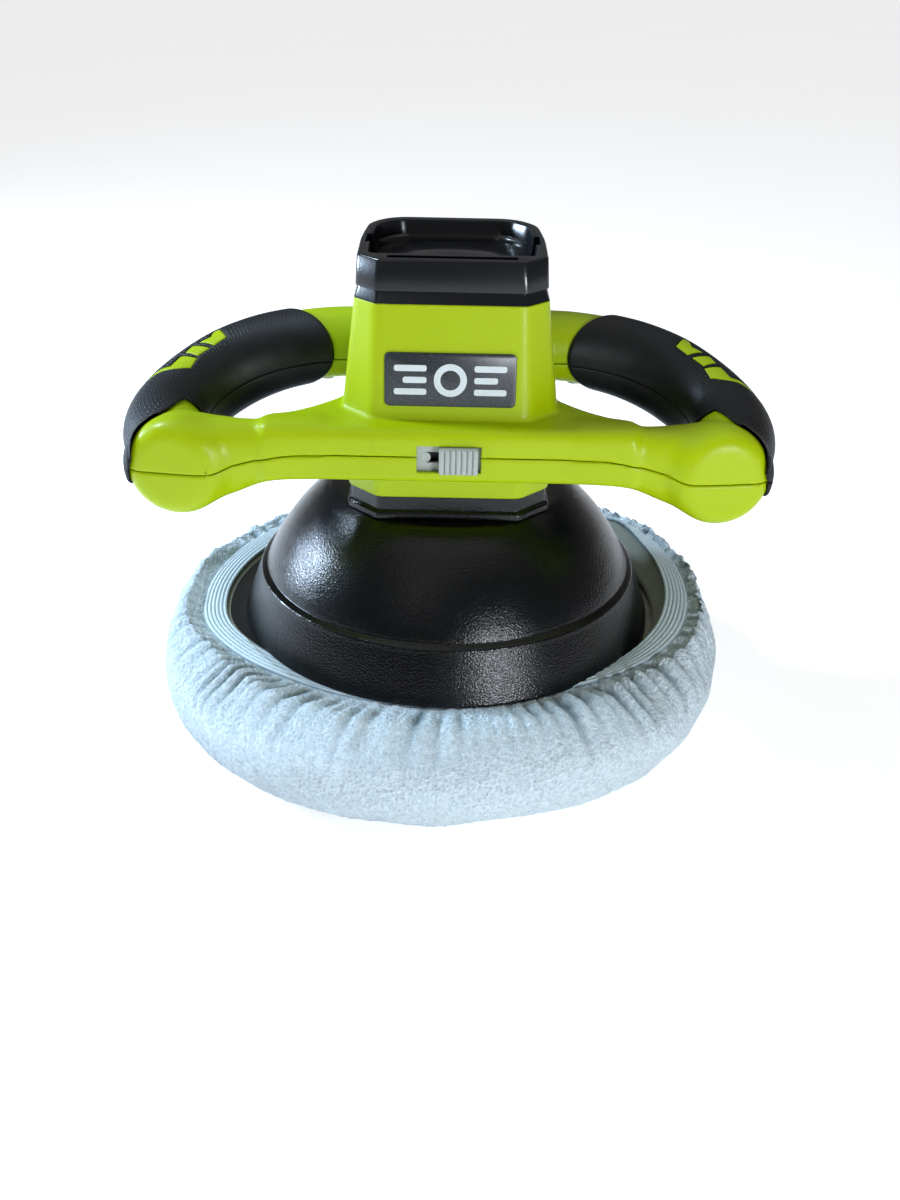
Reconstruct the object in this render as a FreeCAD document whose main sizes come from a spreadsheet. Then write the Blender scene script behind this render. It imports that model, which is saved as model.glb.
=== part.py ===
import FreeCAD
import Part
import math
import os
import Sketcher
from FreeCAD import Placement, Rotation, Vector

# Cordless 10 inch orbital buffer, in millimetres. The origin is on the floor under the motor axis,
# +Z is up, the two loop handles spread along X, and the bar with the switch is at -Y.

os.makedirs("parts", exist_ok=True)
doc = FreeCAD.newDocument("orbital_buffer")

# ---------------------------------------------------------------- driving dimensions

DIMENSIONS = [
    ("wall", 2.6, "wall of the two green housing mouldings"),
    ("overall_height", 212.0, "floor to the rim of the battery port"),
    ("orbit_offset", 4.5, "distance from motor axis to pad axis"),
    ("bonnet_radius", 131.0, "widest radius of the terry bonnet"),
    ("bonnet_height", 47.5, "top of the bonnet shoulder"),
    ("cloth_thickness", 6.3, "terry cloth with its pile"),
    ("band_inner", 101.0, "opening of the elastic band, radius"),
    ("band_width", 11.5, "elastic band, across"),
    ("foam_radius", 124.4, "foam pad inside the bonnet"),
    ("foam_top", 38.0, "height of the glue line between foam and plate"),
    ("plate_radius", 98.0, "backing plate"),
    ("plate_thickness", 3.5, "backing plate"),
    ("rim_radius", 93.4, "lower rim of the shroud"),
    ("rim_height", 43.0, "height of that rim"),
    ("ledge_radius", 82.6, "foot of the dome, at the ledge"),
    ("ledge_height", 66.4, "height of the ledge"),
    ("dome_height", 104.5, "top of the shroud"),
    ("dome_top_radius", 50.0, "flat top of the shroud"),
    ("shell", 3.0, "wall of the black mouldings"),
    ("neck_half", 41.6, "half width of the neck collar"),
    ("skirt_height", 114.5, "lower edge of the lower housing"),
    ("skirt_half", 42.5, "half width of the housing at that edge"),
    ("waist_height", 149.5, "height where tower and bar meet"),
    ("waist_half", 44.4, "half width of the tower there"),
    ("tower_top", 195.0, "top of the upper housing"),
    ("tower_half", 39.0, "half width of the tower at its top"),
    ("port_half", 38.0, "half width of the battery port"),
    ("bar_front", 57.0, "distance of the bar's face from the axis"),
    ("bar_low", 127.0, "underside of the bar"),
    ("bar_half", 74.0, "half length of the straight bar"),
    ("slot_length", 25.8, "switch slot"),
    ("slot_low", 131.7, "switch slot, lower edge"),
    ("slot_tall", 11.4, "switch slot, height"),
    ("button_length", 15.7, "switch button"),
    ("button_left", -4.0, "left end of the button when the switch is off"),
    ("grip_skin", 1.5, "overmoulded grip, thickness"),
    ("can_radius", 22.0, "motor can"),
    ("can_low", 83.0, "motor can, lower face"),
    ("can_high", 148.0, "motor can, upper edge"),
    ("shaft_radius", 3.0, "motor shaft"),
    ("hub_radius", 17.0, "eccentric hub"),
    ("hub_low", 53.5, "eccentric hub, lower face"),
    ("hub_high", 67.0, "eccentric hub, upper face"),
    ("stub_radius", 5.0, "crank stub under the hub"),
    ("bearing_radius", 15.0, "pad bearing, outside"),
    ("bearing_low", 42.6, "pad bearing, lower face"),
    ("bearing_tall", 9.4, "pad bearing, height"),
    ("running_gap", 0.05, "radial clearance of shafts in bearings"),
]
dims = doc.addObject("Spreadsheet::Sheet", "dims")
for row, (alias, millimetres, meaning) in enumerate(DIMENSIONS, start=1):
    dims.set(f"A{row}", meaning)
    dims.set(f"B{row}", str(millimetres))
    dims.setAlias(f"B{row}", alias)
doc.recompute()

nodes = []


def value(expression):
    """Number that an expression on the sheet gives now."""
    return float(dims.evalExpression(expression))


def node(solid, label):
    """Count a finished document object as the sub-part of that name."""
    solid.Label = label
    nodes.append(solid)
    return solid


# ---------------------------------------------------------------- ways of making a solid

PLACE = {"x": "Placement.Base.x", "y": "Placement.Base.y", "z": "Placement.Base.z"}


def bind(solid, **expressions):
    """Tie properties to expressions on the sheet; x, y and z are the place."""
    for name, expression in expressions.items():
        solid.setExpression(PLACE.get(name, name), expression)
    return solid


def cylinder(name, radius, height, x="0", y="0", z="0"):
    return bind(doc.addObject("Part::Cylinder", name), Radius=radius, Height=height, x=x, y=y, z=z)


def box(name, length, width, height, x="0", y="0", z="0"):
    solid = doc.addObject("Part::Box", name)
    return bind(solid, Length=length, Width=width, Height=height, x=x, y=y, z=z)


def fuse(name, solids):
    whole = doc.addObject("Part::MultiFuse", name)
    whole.Shapes = solids
    return whole


def cut(name, base, *tools):
    rest = doc.addObject("Part::Cut", name)
    rest.Base = base
    rest.Tool = tools[0] if len(tools) == 1 else fuse(name + "_tools", list(tools))
    return rest


def ring(name, outer, inner, height, x="0", y="0", z="0"):
    """Plain ring: one cylinder less a thinner one."""
    solid = cylinder(name + "_outside", outer, height, x, y, z)
    return cut(name, solid, cylinder(name + "_bore", inner, height, x, y, z))


def feature(name, shape):
    """Document object for a shape that neither PartDesign nor a primitive gives."""
    solid = doc.addObject("Part::Feature", name)
    solid.Shape = shape
    return solid


def edge_between(start, end, radius):
    """Line, or arc that turns left for a positive radius, and the ends it starts and stops at."""
    if not radius:
        return Part.LineSegment(start, end), 1, 2
    half = (end - start) * 0.5
    reach = math.sqrt(radius ** 2 - half.Length ** 2)
    side = Vector(-half.y, half.x, 0).normalize() * math.copysign(reach, radius)
    centre = start + half + side
    circle = Part.Circle(centre, Vector(0, 0, 1), abs(radius))
    first = math.atan2(start.y - centre.y, start.x - centre.x)
    last = math.atan2(end.y - centre.y, end.x - centre.x)
    if radius < 0:
        first, last = last, first
    if last < first:
        last += 2 * math.pi
    return Part.ArcOfCircle(circle, first, last), (1 if radius > 0 else 2), (2 if radius > 0 else 1)


def sketch(body, role, corners, height="0"):
    """Closed outline on a plane of the body. A corner is (across, up) or (across, up, radius of
    the arc that leaves it), all expressions, and the sketch is fully constrained by them."""
    plane = next(item for item in body.Origin.OriginFeatures if item.Role == role)
    drawing = body.newObject("Sketcher::SketchObject", body.Name + "_sketch")
    drawing.AttachmentSupport = [(plane, "")]
    drawing.MapMode = "FlatFace"
    drawing.setExpression("AttachmentOffset.Base.z", height)
    spots = [Vector(value(corner[0]), value(corner[1]), 0) for corner in corners]
    radii = [value(corner[2]) if len(corner) > 2 else 0.0 for corner in corners]
    ends = []
    for index, spot in enumerate(spots):
        edge, first, last = edge_between(spot, spots[(index + 1) % len(spots)], radii[index])
        drawing.addGeometry(edge, False)
        ends.append((first, last))
    for index, corner in enumerate(corners):
        following = (index + 1) % len(corners)
        join = (index, ends[index][1], following, ends[following][0])
        drawing.addConstraint(Sketcher.Constraint("Coincident", *join))
        here = (-1, 1, index, ends[index][0])
        rules = [("DistanceX", "across", here, corner[0]), ("DistanceY", "up", here, corner[1])]
        if radii[index]:
            rules.append(("Radius", "radius", (index,), f"abs({corner[2]})"))
        for kind, word, target, expression in rules:
            number = drawing.addConstraint(Sketcher.Constraint(kind, *target, value(expression)))
            drawing.renameConstraint(number, f"{word}_{index}")
            drawing.setExpression(f"Constraints.{word}_{index}", expression)
    return drawing


def turned(name, corners, x="0"):
    """Body of revolution about a vertical axis, from its half section."""
    body = doc.addObject("PartDesign::Body", name)
    drawing = sketch(body, "XZ_Plane", corners)
    solid = body.newObject("PartDesign::Revolution", name + "_turned")
    solid.Profile = drawing
    solid.ReferenceAxis = (drawing, ["V_Axis"])
    solid.Angle = 360
    return bind(body, x=x)


def padded(name, corners, low, tall):
    """Body with one outline padded upwards."""
    body = doc.addObject("PartDesign::Body", name)
    solid = body.newObject("PartDesign::Pad", name + "_pad")
    solid.Profile = sketch(body, "XY_Plane", corners, low)
    bind(solid, Length=tall)
    return body


def lofted(name, sections):
    """Body that runs straight from one outline to the next; a section is (corners, height)."""
    body = doc.addObject("PartDesign::Body", name)
    drawings = [sketch(body, "XY_Plane", corners, height) for corners, height in sections]
    solid = body.newObject("PartDesign::AdditiveLoft", name + "_loft")
    solid.Profile = drawings[0]
    solid.Sections = drawings[1:]
    solid.Ruled = True
    return body


def octagon(half, corner):
    """Square of that half width with its corners cut off at the corner distance."""
    signs = [(1, -1), (1, 1), (-1, 1), (-1, -1)]
    outline = []
    for x, y in signs:
        flat_first = (f"{x} * ({half})", f"{y} * ({corner})")
        flat_last = (f"{x} * ({corner})", f"{y} * ({half})")
        outline += [flat_last, flat_first] if x * y < 0 else [flat_first, flat_last]
    return outline


def stationed(stations, thinner):
    """Smooth round tube through stations (x, y, z, radius), each radius less thinner."""
    rings = []
    centres = [Vector(*station[:3]) for station in stations]
    for index, station in enumerate(stations):
        ahead = centres[min(index + 1, len(centres) - 1)]
        behind = centres[max(index - 1, 0)]
        along = (ahead - behind).normalize()
        level = Vector(0, 0, 1).cross(along)
        circle = Part.Wire(Part.makeCircle(station[3] - thinner))
        circle.Placement = Placement(centres[index], Rotation(level, Vector(), along, "ZXY"))
        rings.append(circle)
    return Part.makeLoft(rings, True, False)


def tube(points, radius):
    """Lead along straight runs joined by the largest tangent arcs that the runs allow."""
    spots = [Vector(*point) for point in points]
    edges = []
    here = spots[0]
    for before, corner, after in zip(spots, spots[1:], spots[2:]):
        back = before - corner
        ahead = after - corner
        reach = 0.45 * min(back.Length, ahead.Length)
        enter = corner + back.normalize() * reach
        leave = corner + ahead.normalize() * reach
        bisector = (back + ahead).normalize()
        half_turn = 0.5 * (math.pi - back.getAngle(ahead))
        bend = reach / math.tan(half_turn)
        middle = corner + bisector * (bend / math.cos(half_turn) - bend)
        edges.append(Part.LineSegment(here, enter).toShape())
        edges.append(Part.Arc(enter, middle, leave).toShape())
        here = leave
    edges.append(Part.LineSegment(here, spots[-1]).toShape())
    path = Part.Wire(edges)
    start = Part.Circle(spots[0], spots[1] - spots[0], radius).toShape()
    return path.makePipeShell([Part.Wire(start)], True, False)


def mirrored(shape):
    return shape.mirror(Vector(0, 0, 0), Vector(1, 0, 0))


# ---------------------------------------------------------------- housing, made whole and then split

# Right loop, as stations (x, y, z, radius) from the tower round to the bulb, and from there to the bar.
ARM = [
    (38.0, 25.0, 159.8, 15.2),
    (54.0, 25.5, 158.8, 15.4),
    (70.0, 26.0, 156.0, 15.8),
    (84.0, 24.5, 152.5, 16.3),
    (98.0, 19.5, 147.5, 16.7),
    (111.0, 9.0, 141.5, 16.8),
    (120.0, -5.0, 136.5, 17.0),
    (123.0, -20.0, 133.5, 17.4),
    (119.5, -33.5, 132.0, 18.3),
    (110.0, -43.0, 131.5, 19.0),
]
BULB = (108.5, -44.5, 131.5, 21.8)
NECK = [
    (108.5, -44.5, 131.5, 20.5),
    (97.0, -49.0, 132.8, 18.4),
    (84.0, -49.2, 135.6, 13.8),
    (71.0, -48.6, 138.2, 11.3),
    (58.0, -46.5, 138.4, 10.4),
]
GRIP_FIRST = 2
GRIP_LAST = 8


def loops(thinner):
    """Both handle loops as one solid, each surface set in by thinner."""
    bulb = Part.makeSphere(BULB[3] - thinner, Vector(*BULB[:3]))
    right = stationed(ARM, thinner).fuse([stationed(NECK, thinner), bulb])
    return right.fuse(mirrored(right))


def tower(name, thinner, low):
    """Octagonal tower from the skirt to the port, set in by thinner."""
    low_section = (octagon(f"dims.skirt_half - {thinner}", f"dims.skirt_half - 12.8 - {thinner} * 0.4"), low)
    waist = octagon(f"dims.waist_half - {thinner}", f"dims.waist_half - 12.8 - {thinner} * 0.4")
    top = octagon(f"dims.tower_half - {thinner}", f"dims.tower_half - 9 - {thinner} * 0.4")
    return lofted(name, [low_section, (waist, "dims.waist_height"), (top, "dims.tower_top")])


def bar(name, thinner):
    """Straight bar across the front, its back edge sweeping into the tower."""
    front = f"-(dims.bar_front - {thinner})"
    side = f"(dims.bar_half - {thinner})"
    back = [("side", "-40"), ("62", "-35"), ("51", "-24"), ("40", "-8")]
    right = [(side if x == "side" else f"({x} - {thinner})", f"{y} - {thinner}") for x, y in back]
    left = [(f"-{x}", y) for x, y in reversed(right)]
    corners = [(f"-{side}", front), (side, front)] + right + left
    low = f"dims.bar_low + {thinner}"
    return padded(name, corners, low, f"dims.waist_height - dims.bar_low - 2 * {thinner}")


bar_outside = bar("bar_outside", "0")
doc.recompute()
bar_pad = bar_outside.Tip
long_edges = [
    f"Edge{number}" for number, edge in enumerate(bar_pad.Shape.Edges, start=1)
    if abs(edge.CenterOfMass.y + value("dims.bar_front")) < 0.01 and abs(edge.CenterOfMass.x) < 1]
bar_rounded = bar_outside.newObject("PartDesign::Fillet", "bar_rounded")
bar_rounded.Base = (bar_pad, long_edges)
bar_rounded.Radius = 4.0

housing_outside = fuse("housing_outside", [
    tower("tower_outside", "0", "dims.skirt_height"), bar_outside, feature("loops_outside", loops(0))])
housing_inside = fuse("housing_inside", [
    tower("tower_inside", "dims.wall", "dims.skirt_height - 1"),
    bar("bar_inside", "dims.wall"),
    feature("loops_inside", loops(value("dims.wall")))])

# Screw columns stay standing inside the shell; a screw comes up through each from below.
SCREW_PLACES = [(108.5, -44.5, 112.5), (54.0, -47.0, 128.5), (56.0, 25.5, 145.5)]
SCREW_PLACES += [(-x, y, z) for x, y, z in SCREW_PLACES]
columns = [cylinder(f"column_{index}", "4.6", "70", str(x), str(y), "108")
           for index, (x, y, z) in enumerate(SCREW_PLACES)]
screw_holes = []
for index, (x, y, z) in enumerate(SCREW_PLACES):
    screw_holes.append(cylinder(f"head_hole_{index}", "3.6", f"{z} - 100", str(x), str(y), "100"))
    screw_holes.append(cylinder(f"shank_hole_{index}", "1.6", "17", str(x), str(y), str(z)))

port_mouth = box("port_mouth", "48", "42", "8", "-24", "-19", "dims.tower_top - 5")
switch_slot = box("switch_slot", "dims.slot_length", "8", "dims.slot_tall",
                  "-dims.slot_length / 2", "-dims.bar_front - 4", "dims.slot_low")
housing_space = cut("housing_space", housing_inside, *columns)
housing_hollow = cut("housing_hollow", housing_outside, housing_space)
housing_shell = cut("housing_shell", housing_hollow, port_mouth, switch_slot, *screw_holes)

# The two mouldings meet on a ruled surface: level along the bar, rising to the rear, falling outwards.
PARTING = [  # distance from the middle, height at y -60, height at y 30
    (50.0, 137.5, 160.5),
    (65.0, 137.3, 158.0),
    (81.0, 134.5, 154.3),
    (95.0, 132.0, 150.2),
    (110.0, 131.4, 144.7),
    (119.0, 131.3, 139.5),
    (145.0, 131.3, 131.0),
]


def parting_edge(y):
    share = (y + 60.0) / 90.0
    heights = [(x, front + (rear - front) * share) for x, front, rear in PARTING]
    line = [Vector(-x, y, z) for x, z in reversed(heights)] + [Vector(x, y, z) for x, z in heights]
    curve = Part.BSplineCurve()
    curve.interpolate(line)
    return curve.toShape()


below = Part.makeRuledSurface(parting_edge(-80.0), parting_edge(60.0)).extrude(Vector(0, 0, -90))
below_parting = feature("below_parting", below)
lower_housing = doc.addObject("Part::MultiCommon", "lower_housing")
lower_housing.Shapes = [housing_shell, below_parting]
node(lower_housing, "lower_housing")
node(cut("upper_housing", housing_shell, below_parting), "upper_housing")

screws = [Part.makeCylinder(3.4, 2.6, Vector(x, y, z - 2.7)).fuse(
    Part.makeCylinder(1.55, 18.7, Vector(x, y, z - 2.7))) for x, y, z in SCREW_PLACES]
node(feature("housing_screws", Part.makeCompound(screws)), "housing_screws")

# Rubber grips: a skin over each arm, in an upper and a lower half like the housing under it.
grip_stations = ARM[GRIP_FIRST:GRIP_LAST + 1]
bulb_clear = Part.makeSphere(BULB[3] + 0.02, Vector(*BULB[:3]))
grip_skin = stationed(grip_stations, -value("dims.grip_skin")).cut([stationed(ARM, -0.02), bulb_clear])
for side, skin in (("right", grip_skin), ("left", mirrored(grip_skin))):
    node(feature(f"{side}_grip_upper", skin.cut(below)), f"{side}_grip_upper")
    node(feature(f"{side}_grip_lower", skin.common(below)), f"{side}_grip_lower")

# ---------------------------------------------------------------- battery port

PORT_CORNER = "dims.port_half - 9"
port_low = ("dims.tower_top", "dims.overall_height - dims.tower_top")
collar_block = padded("collar_block", octagon("dims.port_half", PORT_CORNER), *port_low)
collar_mouth = box("collar_mouth", "67", "60.5", "20", "-33.5", "-27.3", "dims.tower_top + 4")
collar_well = box("collar_well", "46.2", "40.2", "30", "-23.1", "-18.1", "dims.tower_top - 10")
latches = [box(f"latch_{index}", "3", "14", "9", x, "-9", "dims.tower_top + 6")
           for index, x in enumerate(("-36", "33"))]
port_channel = box("port_channel", "50", "4", "9", "-25", "-34.3", "dims.overall_height - 8")
node(cut("battery_port_collar", collar_block, collar_mouth, collar_well, port_channel, *latches),
     "battery_port_collar")

WELL_LOW = "163"
well_block = box("well_block", "46", "40", f"dims.tower_top + 4 - {WELL_LOW}", "-23", "-18", WELL_LOW)
well_space = box("well_space", "41", "35", "60", "-20.5", "-15.5", f"{WELL_LOW} + 2.5")
lead_port = box("lead_port", "20", "6", "5", "-10", "-20", f"{WELL_LOW} + 3")
node(cut("battery_well", well_block, well_space, lead_port), "battery_well")
node(box("terminal_block", "26", "9", "9", "-13", "-15.4", f"{WELL_LOW} + 2.6"), "terminal_block")
blades = [box(f"blade_{index}", "0.8", "6", "13", str(x), "-14", f"{WELL_LOW} + 11.6")
          for index, x in enumerate((-8.4, -0.4, 7.6))]
node(fuse("contact_blades", blades), "contact_blades")

# ---------------------------------------------------------------- name plate and slide switch

PLATE_LENGTH = 52.5
PLATE_WIDTH = 21.5
PLATE_MIDDLE = 165.8
lean = math.atan2(value("dims.waist_half - dims.tower_half"), value("dims.tower_top - dims.waist_height"))
face_y = -value("dims.tower_half") - (value("dims.tower_top") - PLATE_MIDDLE) * math.tan(lean)
name_plate = doc.addObject("Part::Box", "plate_blank")
bind(name_plate, Length=str(PLATE_LENGTH), Width="1.2", Height=str(PLATE_WIDTH))
plate_turn = Rotation(Vector(1, 0, 0), -math.degrees(lean))
plate_corner = Vector(0, face_y, PLATE_MIDDLE) + plate_turn.multVec(Vector(-PLATE_LENGTH / 2, -1.22, -PLATE_WIDTH / 2))
name_plate.Placement = Placement(plate_corner, plate_turn)
rounded_plate = doc.addObject("Part::Fillet", "name_plate")
rounded_plate.Base = name_plate
doc.recompute()
across = plate_turn.multVec(Vector(0, 1, 0))
rounded_plate.Edges = [(number, 2.0, 2.0) for number, edge in enumerate(name_plate.Shape.Edges, start=1)
                       if abs(abs(edge.tangentAt(edge.FirstParameter).dot(across)) - 1) < 1e-6]
node(rounded_plate, "name_plate")

TRACK_BACK = "dims.bar_front - dims.wall - 1.6"
track = box("track", "32", "1.5", "15", "-16", f"-({TRACK_BACK}) - 1.5", "dims.slot_low - 1.8")
track_slit = box("track_slit", "14", "4", "4.6", "-9.1", f"-({TRACK_BACK}) - 3", "dims.slot_low + 3.4")
node(cut("switch_track", track, track_slit), "switch_track")
switch_block = box("switch_block", "22", "9", "12", "-11", f"-({TRACK_BACK})", "dims.slot_low - 0.3")
switch_recess = box("switch_recess", "14", "2.6", "4.6", "-9.1", f"-({TRACK_BACK})", "dims.slot_low + 3.4")
node(cut("slide_switch", switch_block, switch_recess), "slide_switch")

BUTTON_DEEP = "6.2"
BUTTON_FACE = "-dims.bar_front - 3.6"
cap = box("button_cap", "dims.button_length", BUTTON_DEEP, "dims.slot_tall - 0.6",
          "dims.button_left", BUTTON_FACE, "dims.slot_low + 0.3")
post = box("button_post", "4", "4.2", "3.6", "dims.button_left + 4.5",
           f"{BUTTON_FACE} + {BUTTON_DEEP} - 0.6", "dims.slot_low + 3.9")
grooves = [box(f"groove_{index}", "0.9", "1.2", "20", f"dims.button_left + {1.9 + 2.2 * index}",
               f"{BUTTON_FACE} - 0.2", "dims.slot_low - 2") for index in range(6)]
node(cut("switch_button", fuse("button_body", [cap, post]), *grooves), "switch_button")

# ---------------------------------------------------------------- neck, shroud and motor mount

neck_block = padded("neck_block", octagon("dims.neck_half", "dims.neck_half - 12.6"),
                    "dims.dome_height", "dims.skirt_height - dims.dome_height")
neck_lip = padded("neck_lip", octagon("dims.skirt_half - dims.wall - 0.2", "dims.skirt_half - 16"),
                  "dims.skirt_height", "5")
neck_space = padded("neck_space", octagon("dims.neck_half - dims.shell - 1.5", "dims.neck_half - 17"),
                    "dims.dome_height - 1", "20")
MOUNT_SCREWS = [(x, y) for x in (-30, 30) for y in (-30, 30)]
neck_bosses = [cylinder(f"neck_boss_{index}", "4", "9", str(x), str(y), "dims.dome_height")
               for index, (x, y) in enumerate(MOUNT_SCREWS)]
mount_holes = [cylinder(f"mount_hole_{index}", "1.6", "14", str(x), str(y), "dims.dome_height - 6")
               for index, (x, y) in enumerate(MOUNT_SCREWS)]
neck_shell = cut("neck_shell", fuse("neck_solid", [neck_block, neck_lip]), neck_space)
node(cut("neck_collar", fuse("neck_with_bosses", [neck_shell] + neck_bosses), *mount_holes), "neck_collar")

shroud_outside = [
    ("30", "dims.dome_height - dims.shell"),
    ("dims.dome_top_radius - 2", "dims.dome_height - dims.shell", "-(dims.ledge_height - 30)"),
    ("dims.ledge_radius - dims.shell", "dims.ledge_height"),
    ("dims.ledge_radius - dims.shell", "dims.ledge_height - 2.6", "-100"),
    ("dims.rim_radius - dims.shell", "dims.rim_height"),
    ("dims.rim_radius", "dims.rim_height", "100"),
    ("dims.ledge_radius + 2.4", "dims.ledge_height - 1.4"),
    ("dims.ledge_radius", "dims.ledge_height", "dims.ledge_height - 27.5"),
    ("dims.dome_top_radius", "dims.dome_height"),
    ("30", "dims.dome_height"),
]
shroud_body = turned("shroud_body", shroud_outside)
shroud_holes = [cylinder(f"shroud_hole_{index}", "1.7", "10", str(x), str(y), "dims.dome_height - 6")
                for index, (x, y) in enumerate(MOUNT_SCREWS)]
node(cut("shroud", shroud_body, *shroud_holes), "shroud")

MOUNT_TOP = "dims.dome_height - dims.shell - 0.1"
mount_body = turned("mount_body", [
    ("9", "dims.can_low - 4"),
    ("dims.can_radius + 5", "dims.can_low - 4"),
    ("dims.can_radius + 5", f"{MOUNT_TOP} - 3"),
    ("46.5", f"{MOUNT_TOP} - 3"),
    ("46.5", MOUNT_TOP),
    ("dims.can_radius + 2", MOUNT_TOP),
    ("dims.can_radius + 2", "dims.can_low - 0.1"),
    ("9", "dims.can_low - 0.1"),
])
flange_holes = [cylinder(f"flange_hole_{index}", "1.7", "10", str(x), str(y), "dims.dome_height - 9")
                for index, (x, y) in enumerate(MOUNT_SCREWS)]
NOSE_SCREWS = [(-14.5, 0), (14.5, 0)]
nose_holes = [cylinder(f"nose_hole_{index}", "2.1", "8", str(x), str(y), "dims.can_low - 6")
              for index, (x, y) in enumerate(NOSE_SCREWS)]
node(cut("motor_mount", mount_body, *flange_holes, *nose_holes), "motor_mount")


def screw_group(label, places, head_radius, head_tall, shank_radius, length, low):
    """Identical vertical screws, heads down, as separate solids in one node."""
    bolts = [Part.makeCylinder(head_radius, head_tall, Vector(x, y, low)).fuse(
        Part.makeCylinder(shank_radius, length, Vector(x, y, low))) for x, y in places]
    node(feature(label, Part.makeCompound(bolts)), label)


mount_face = value(MOUNT_TOP) - 3
screw_group("shroud_screws", MOUNT_SCREWS, 3.4, 2.5, 1.55, 14, mount_face - 2.5)
screw_group("motor_screws", NOSE_SCREWS, 3.6, 2.5, 2.0, 8, value("dims.can_low") - 6.5)

# ---------------------------------------------------------------- motor

can_body = turned("can_body", [
    ("8", "dims.can_low"),
    ("dims.can_radius", "dims.can_low"),
    ("dims.can_radius", "dims.can_high"),
    ("dims.can_radius - 1.4", "dims.can_high"),
    ("dims.can_radius - 1.4", "dims.can_low + 2"),
    ("8", "dims.can_low + 2"),
])
can_holes = [cylinder(f"can_hole_{index}", "2.05", "6", str(x), str(y), "dims.can_low - 2")
             for index, (x, y) in enumerate(NOSE_SCREWS)]
node(cut("motor_can", can_body, *can_holes), "motor_can")
node(turned("motor_end_cap", [
    ("7.6", "dims.can_high + 0.1"),
    ("dims.can_radius", "dims.can_high + 0.1"),
    ("dims.can_radius", "dims.can_high + 4"),
    ("10", "dims.can_high + 6"),
    ("10", "dims.can_high + 10"),
    ("7.6", "dims.can_high + 10"),
]), "motor_end_cap")
BEARING_BORE = "dims.shaft_radius + dims.running_gap"
node(ring("front_bearing", "7.9", BEARING_BORE, "5", z="dims.can_low - 2"), "front_bearing")
node(ring("rear_bearing", "7.5", BEARING_BORE, "5", z="dims.can_high + 4"), "rear_bearing")
magnet_ring = ring("magnet_ring", "dims.can_radius - 1.5", "dims.can_radius - 4.6", "50", z="dims.can_low + 9")
magnet_gap = box("magnet_gap", "9", "60", "60", "-4.5", "-30", "dims.can_low + 5")
node(cut("motor_magnets", magnet_ring, magnet_gap), "motor_magnets")

ARMATURE_LOW = "dims.can_low + 11"
stack = ring("stack", "dims.can_radius - 5.3", "dims.shaft_radius", "44", z=ARMATURE_LOW)
winding_slots = []
for index in range(5):
    slot = box(f"winding_slot_{index}", "12", "4", "60", "9", "-2", "dims.can_low")
    angle = 72.0 * index
    turn = Rotation(Vector(0, 0, 1), angle)
    slot.Placement = Placement(turn.multVec(Vector(9, -2, value("dims.can_low"))), turn)
    for axis in ("x", "y", "z"):
        slot.setExpression(PLACE[axis], None)
    winding_slots.append(slot)
node(cut("armature", stack, *winding_slots), "armature")
node(ring("commutator", "6", "dims.shaft_radius", "8", z="dims.can_high - 9"), "commutator")
brushes = [box(f"brush_{index}", "8", "4", "6", x, "-2", "dims.can_high - 8")
           for index, x in enumerate(("6.3", "-14.3"))]
node(fuse("carbon_brushes", brushes), "carbon_brushes")

# ---------------------------------------------------------------- crank between motor and pad

node(cylinder("motor_shaft", "dims.shaft_radius", "dims.can_high + 9 - dims.hub_low - 1", z="dims.hub_low + 1"),
     "motor_shaft")
hub_barrel = cylinder("hub_barrel", "dims.hub_radius", "dims.hub_high - dims.hub_low", z="dims.hub_low")
hub_flange = cylinder("hub_flange", "26", "3", z="dims.hub_high - 3")
crank_stub = cylinder("crank_stub", "dims.stub_radius", "dims.hub_low - dims.bearing_low + 1",
                      "-dims.orbit_offset", "0", "dims.bearing_low")
hub_bore = cylinder("hub_bore", "dims.shaft_radius", "30", z="dims.hub_low + 1")
stub_bore = cylinder("stub_bore", "2.5", "12", "-dims.orbit_offset", "0", "dims.bearing_low - 1")
WEIGHT_SCREWS = [(21.5, -7), (21.5, 7)]
weight_holes = [cylinder(f"weight_hole_{index}", "1.6", "14", str(x), str(y), "dims.hub_high - 11")
                for index, (x, y) in enumerate(WEIGHT_SCREWS)]
node(cut("eccentric_hub", fuse("hub_solid", [hub_barrel, hub_flange, crank_stub]),
         hub_bore, stub_bore, *weight_holes), "eccentric_hub")
weight_disc = cylinder("weight_disc", "40", "8", z="dims.hub_high - 11.1")
weight_clear = cylinder("weight_clear", "dims.hub_radius + 0.1", "20", z="dims.hub_high - 15")
weight_flat = box("weight_flat", "60", "90", "20", "-50", "-45", "dims.hub_high - 15")
node(cut("counterweight", weight_disc, weight_clear, weight_flat,
         *[cylinder(f"weight_bore_{index}", "1.6", "14", str(x), str(y), "dims.hub_high - 13")
           for index, (x, y) in enumerate(WEIGHT_SCREWS)]), "counterweight")
screw_group("counterweight_screws", WEIGHT_SCREWS, 3.0, 2.2, 1.55, 12, value("dims.hub_high") - 13.3)

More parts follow.
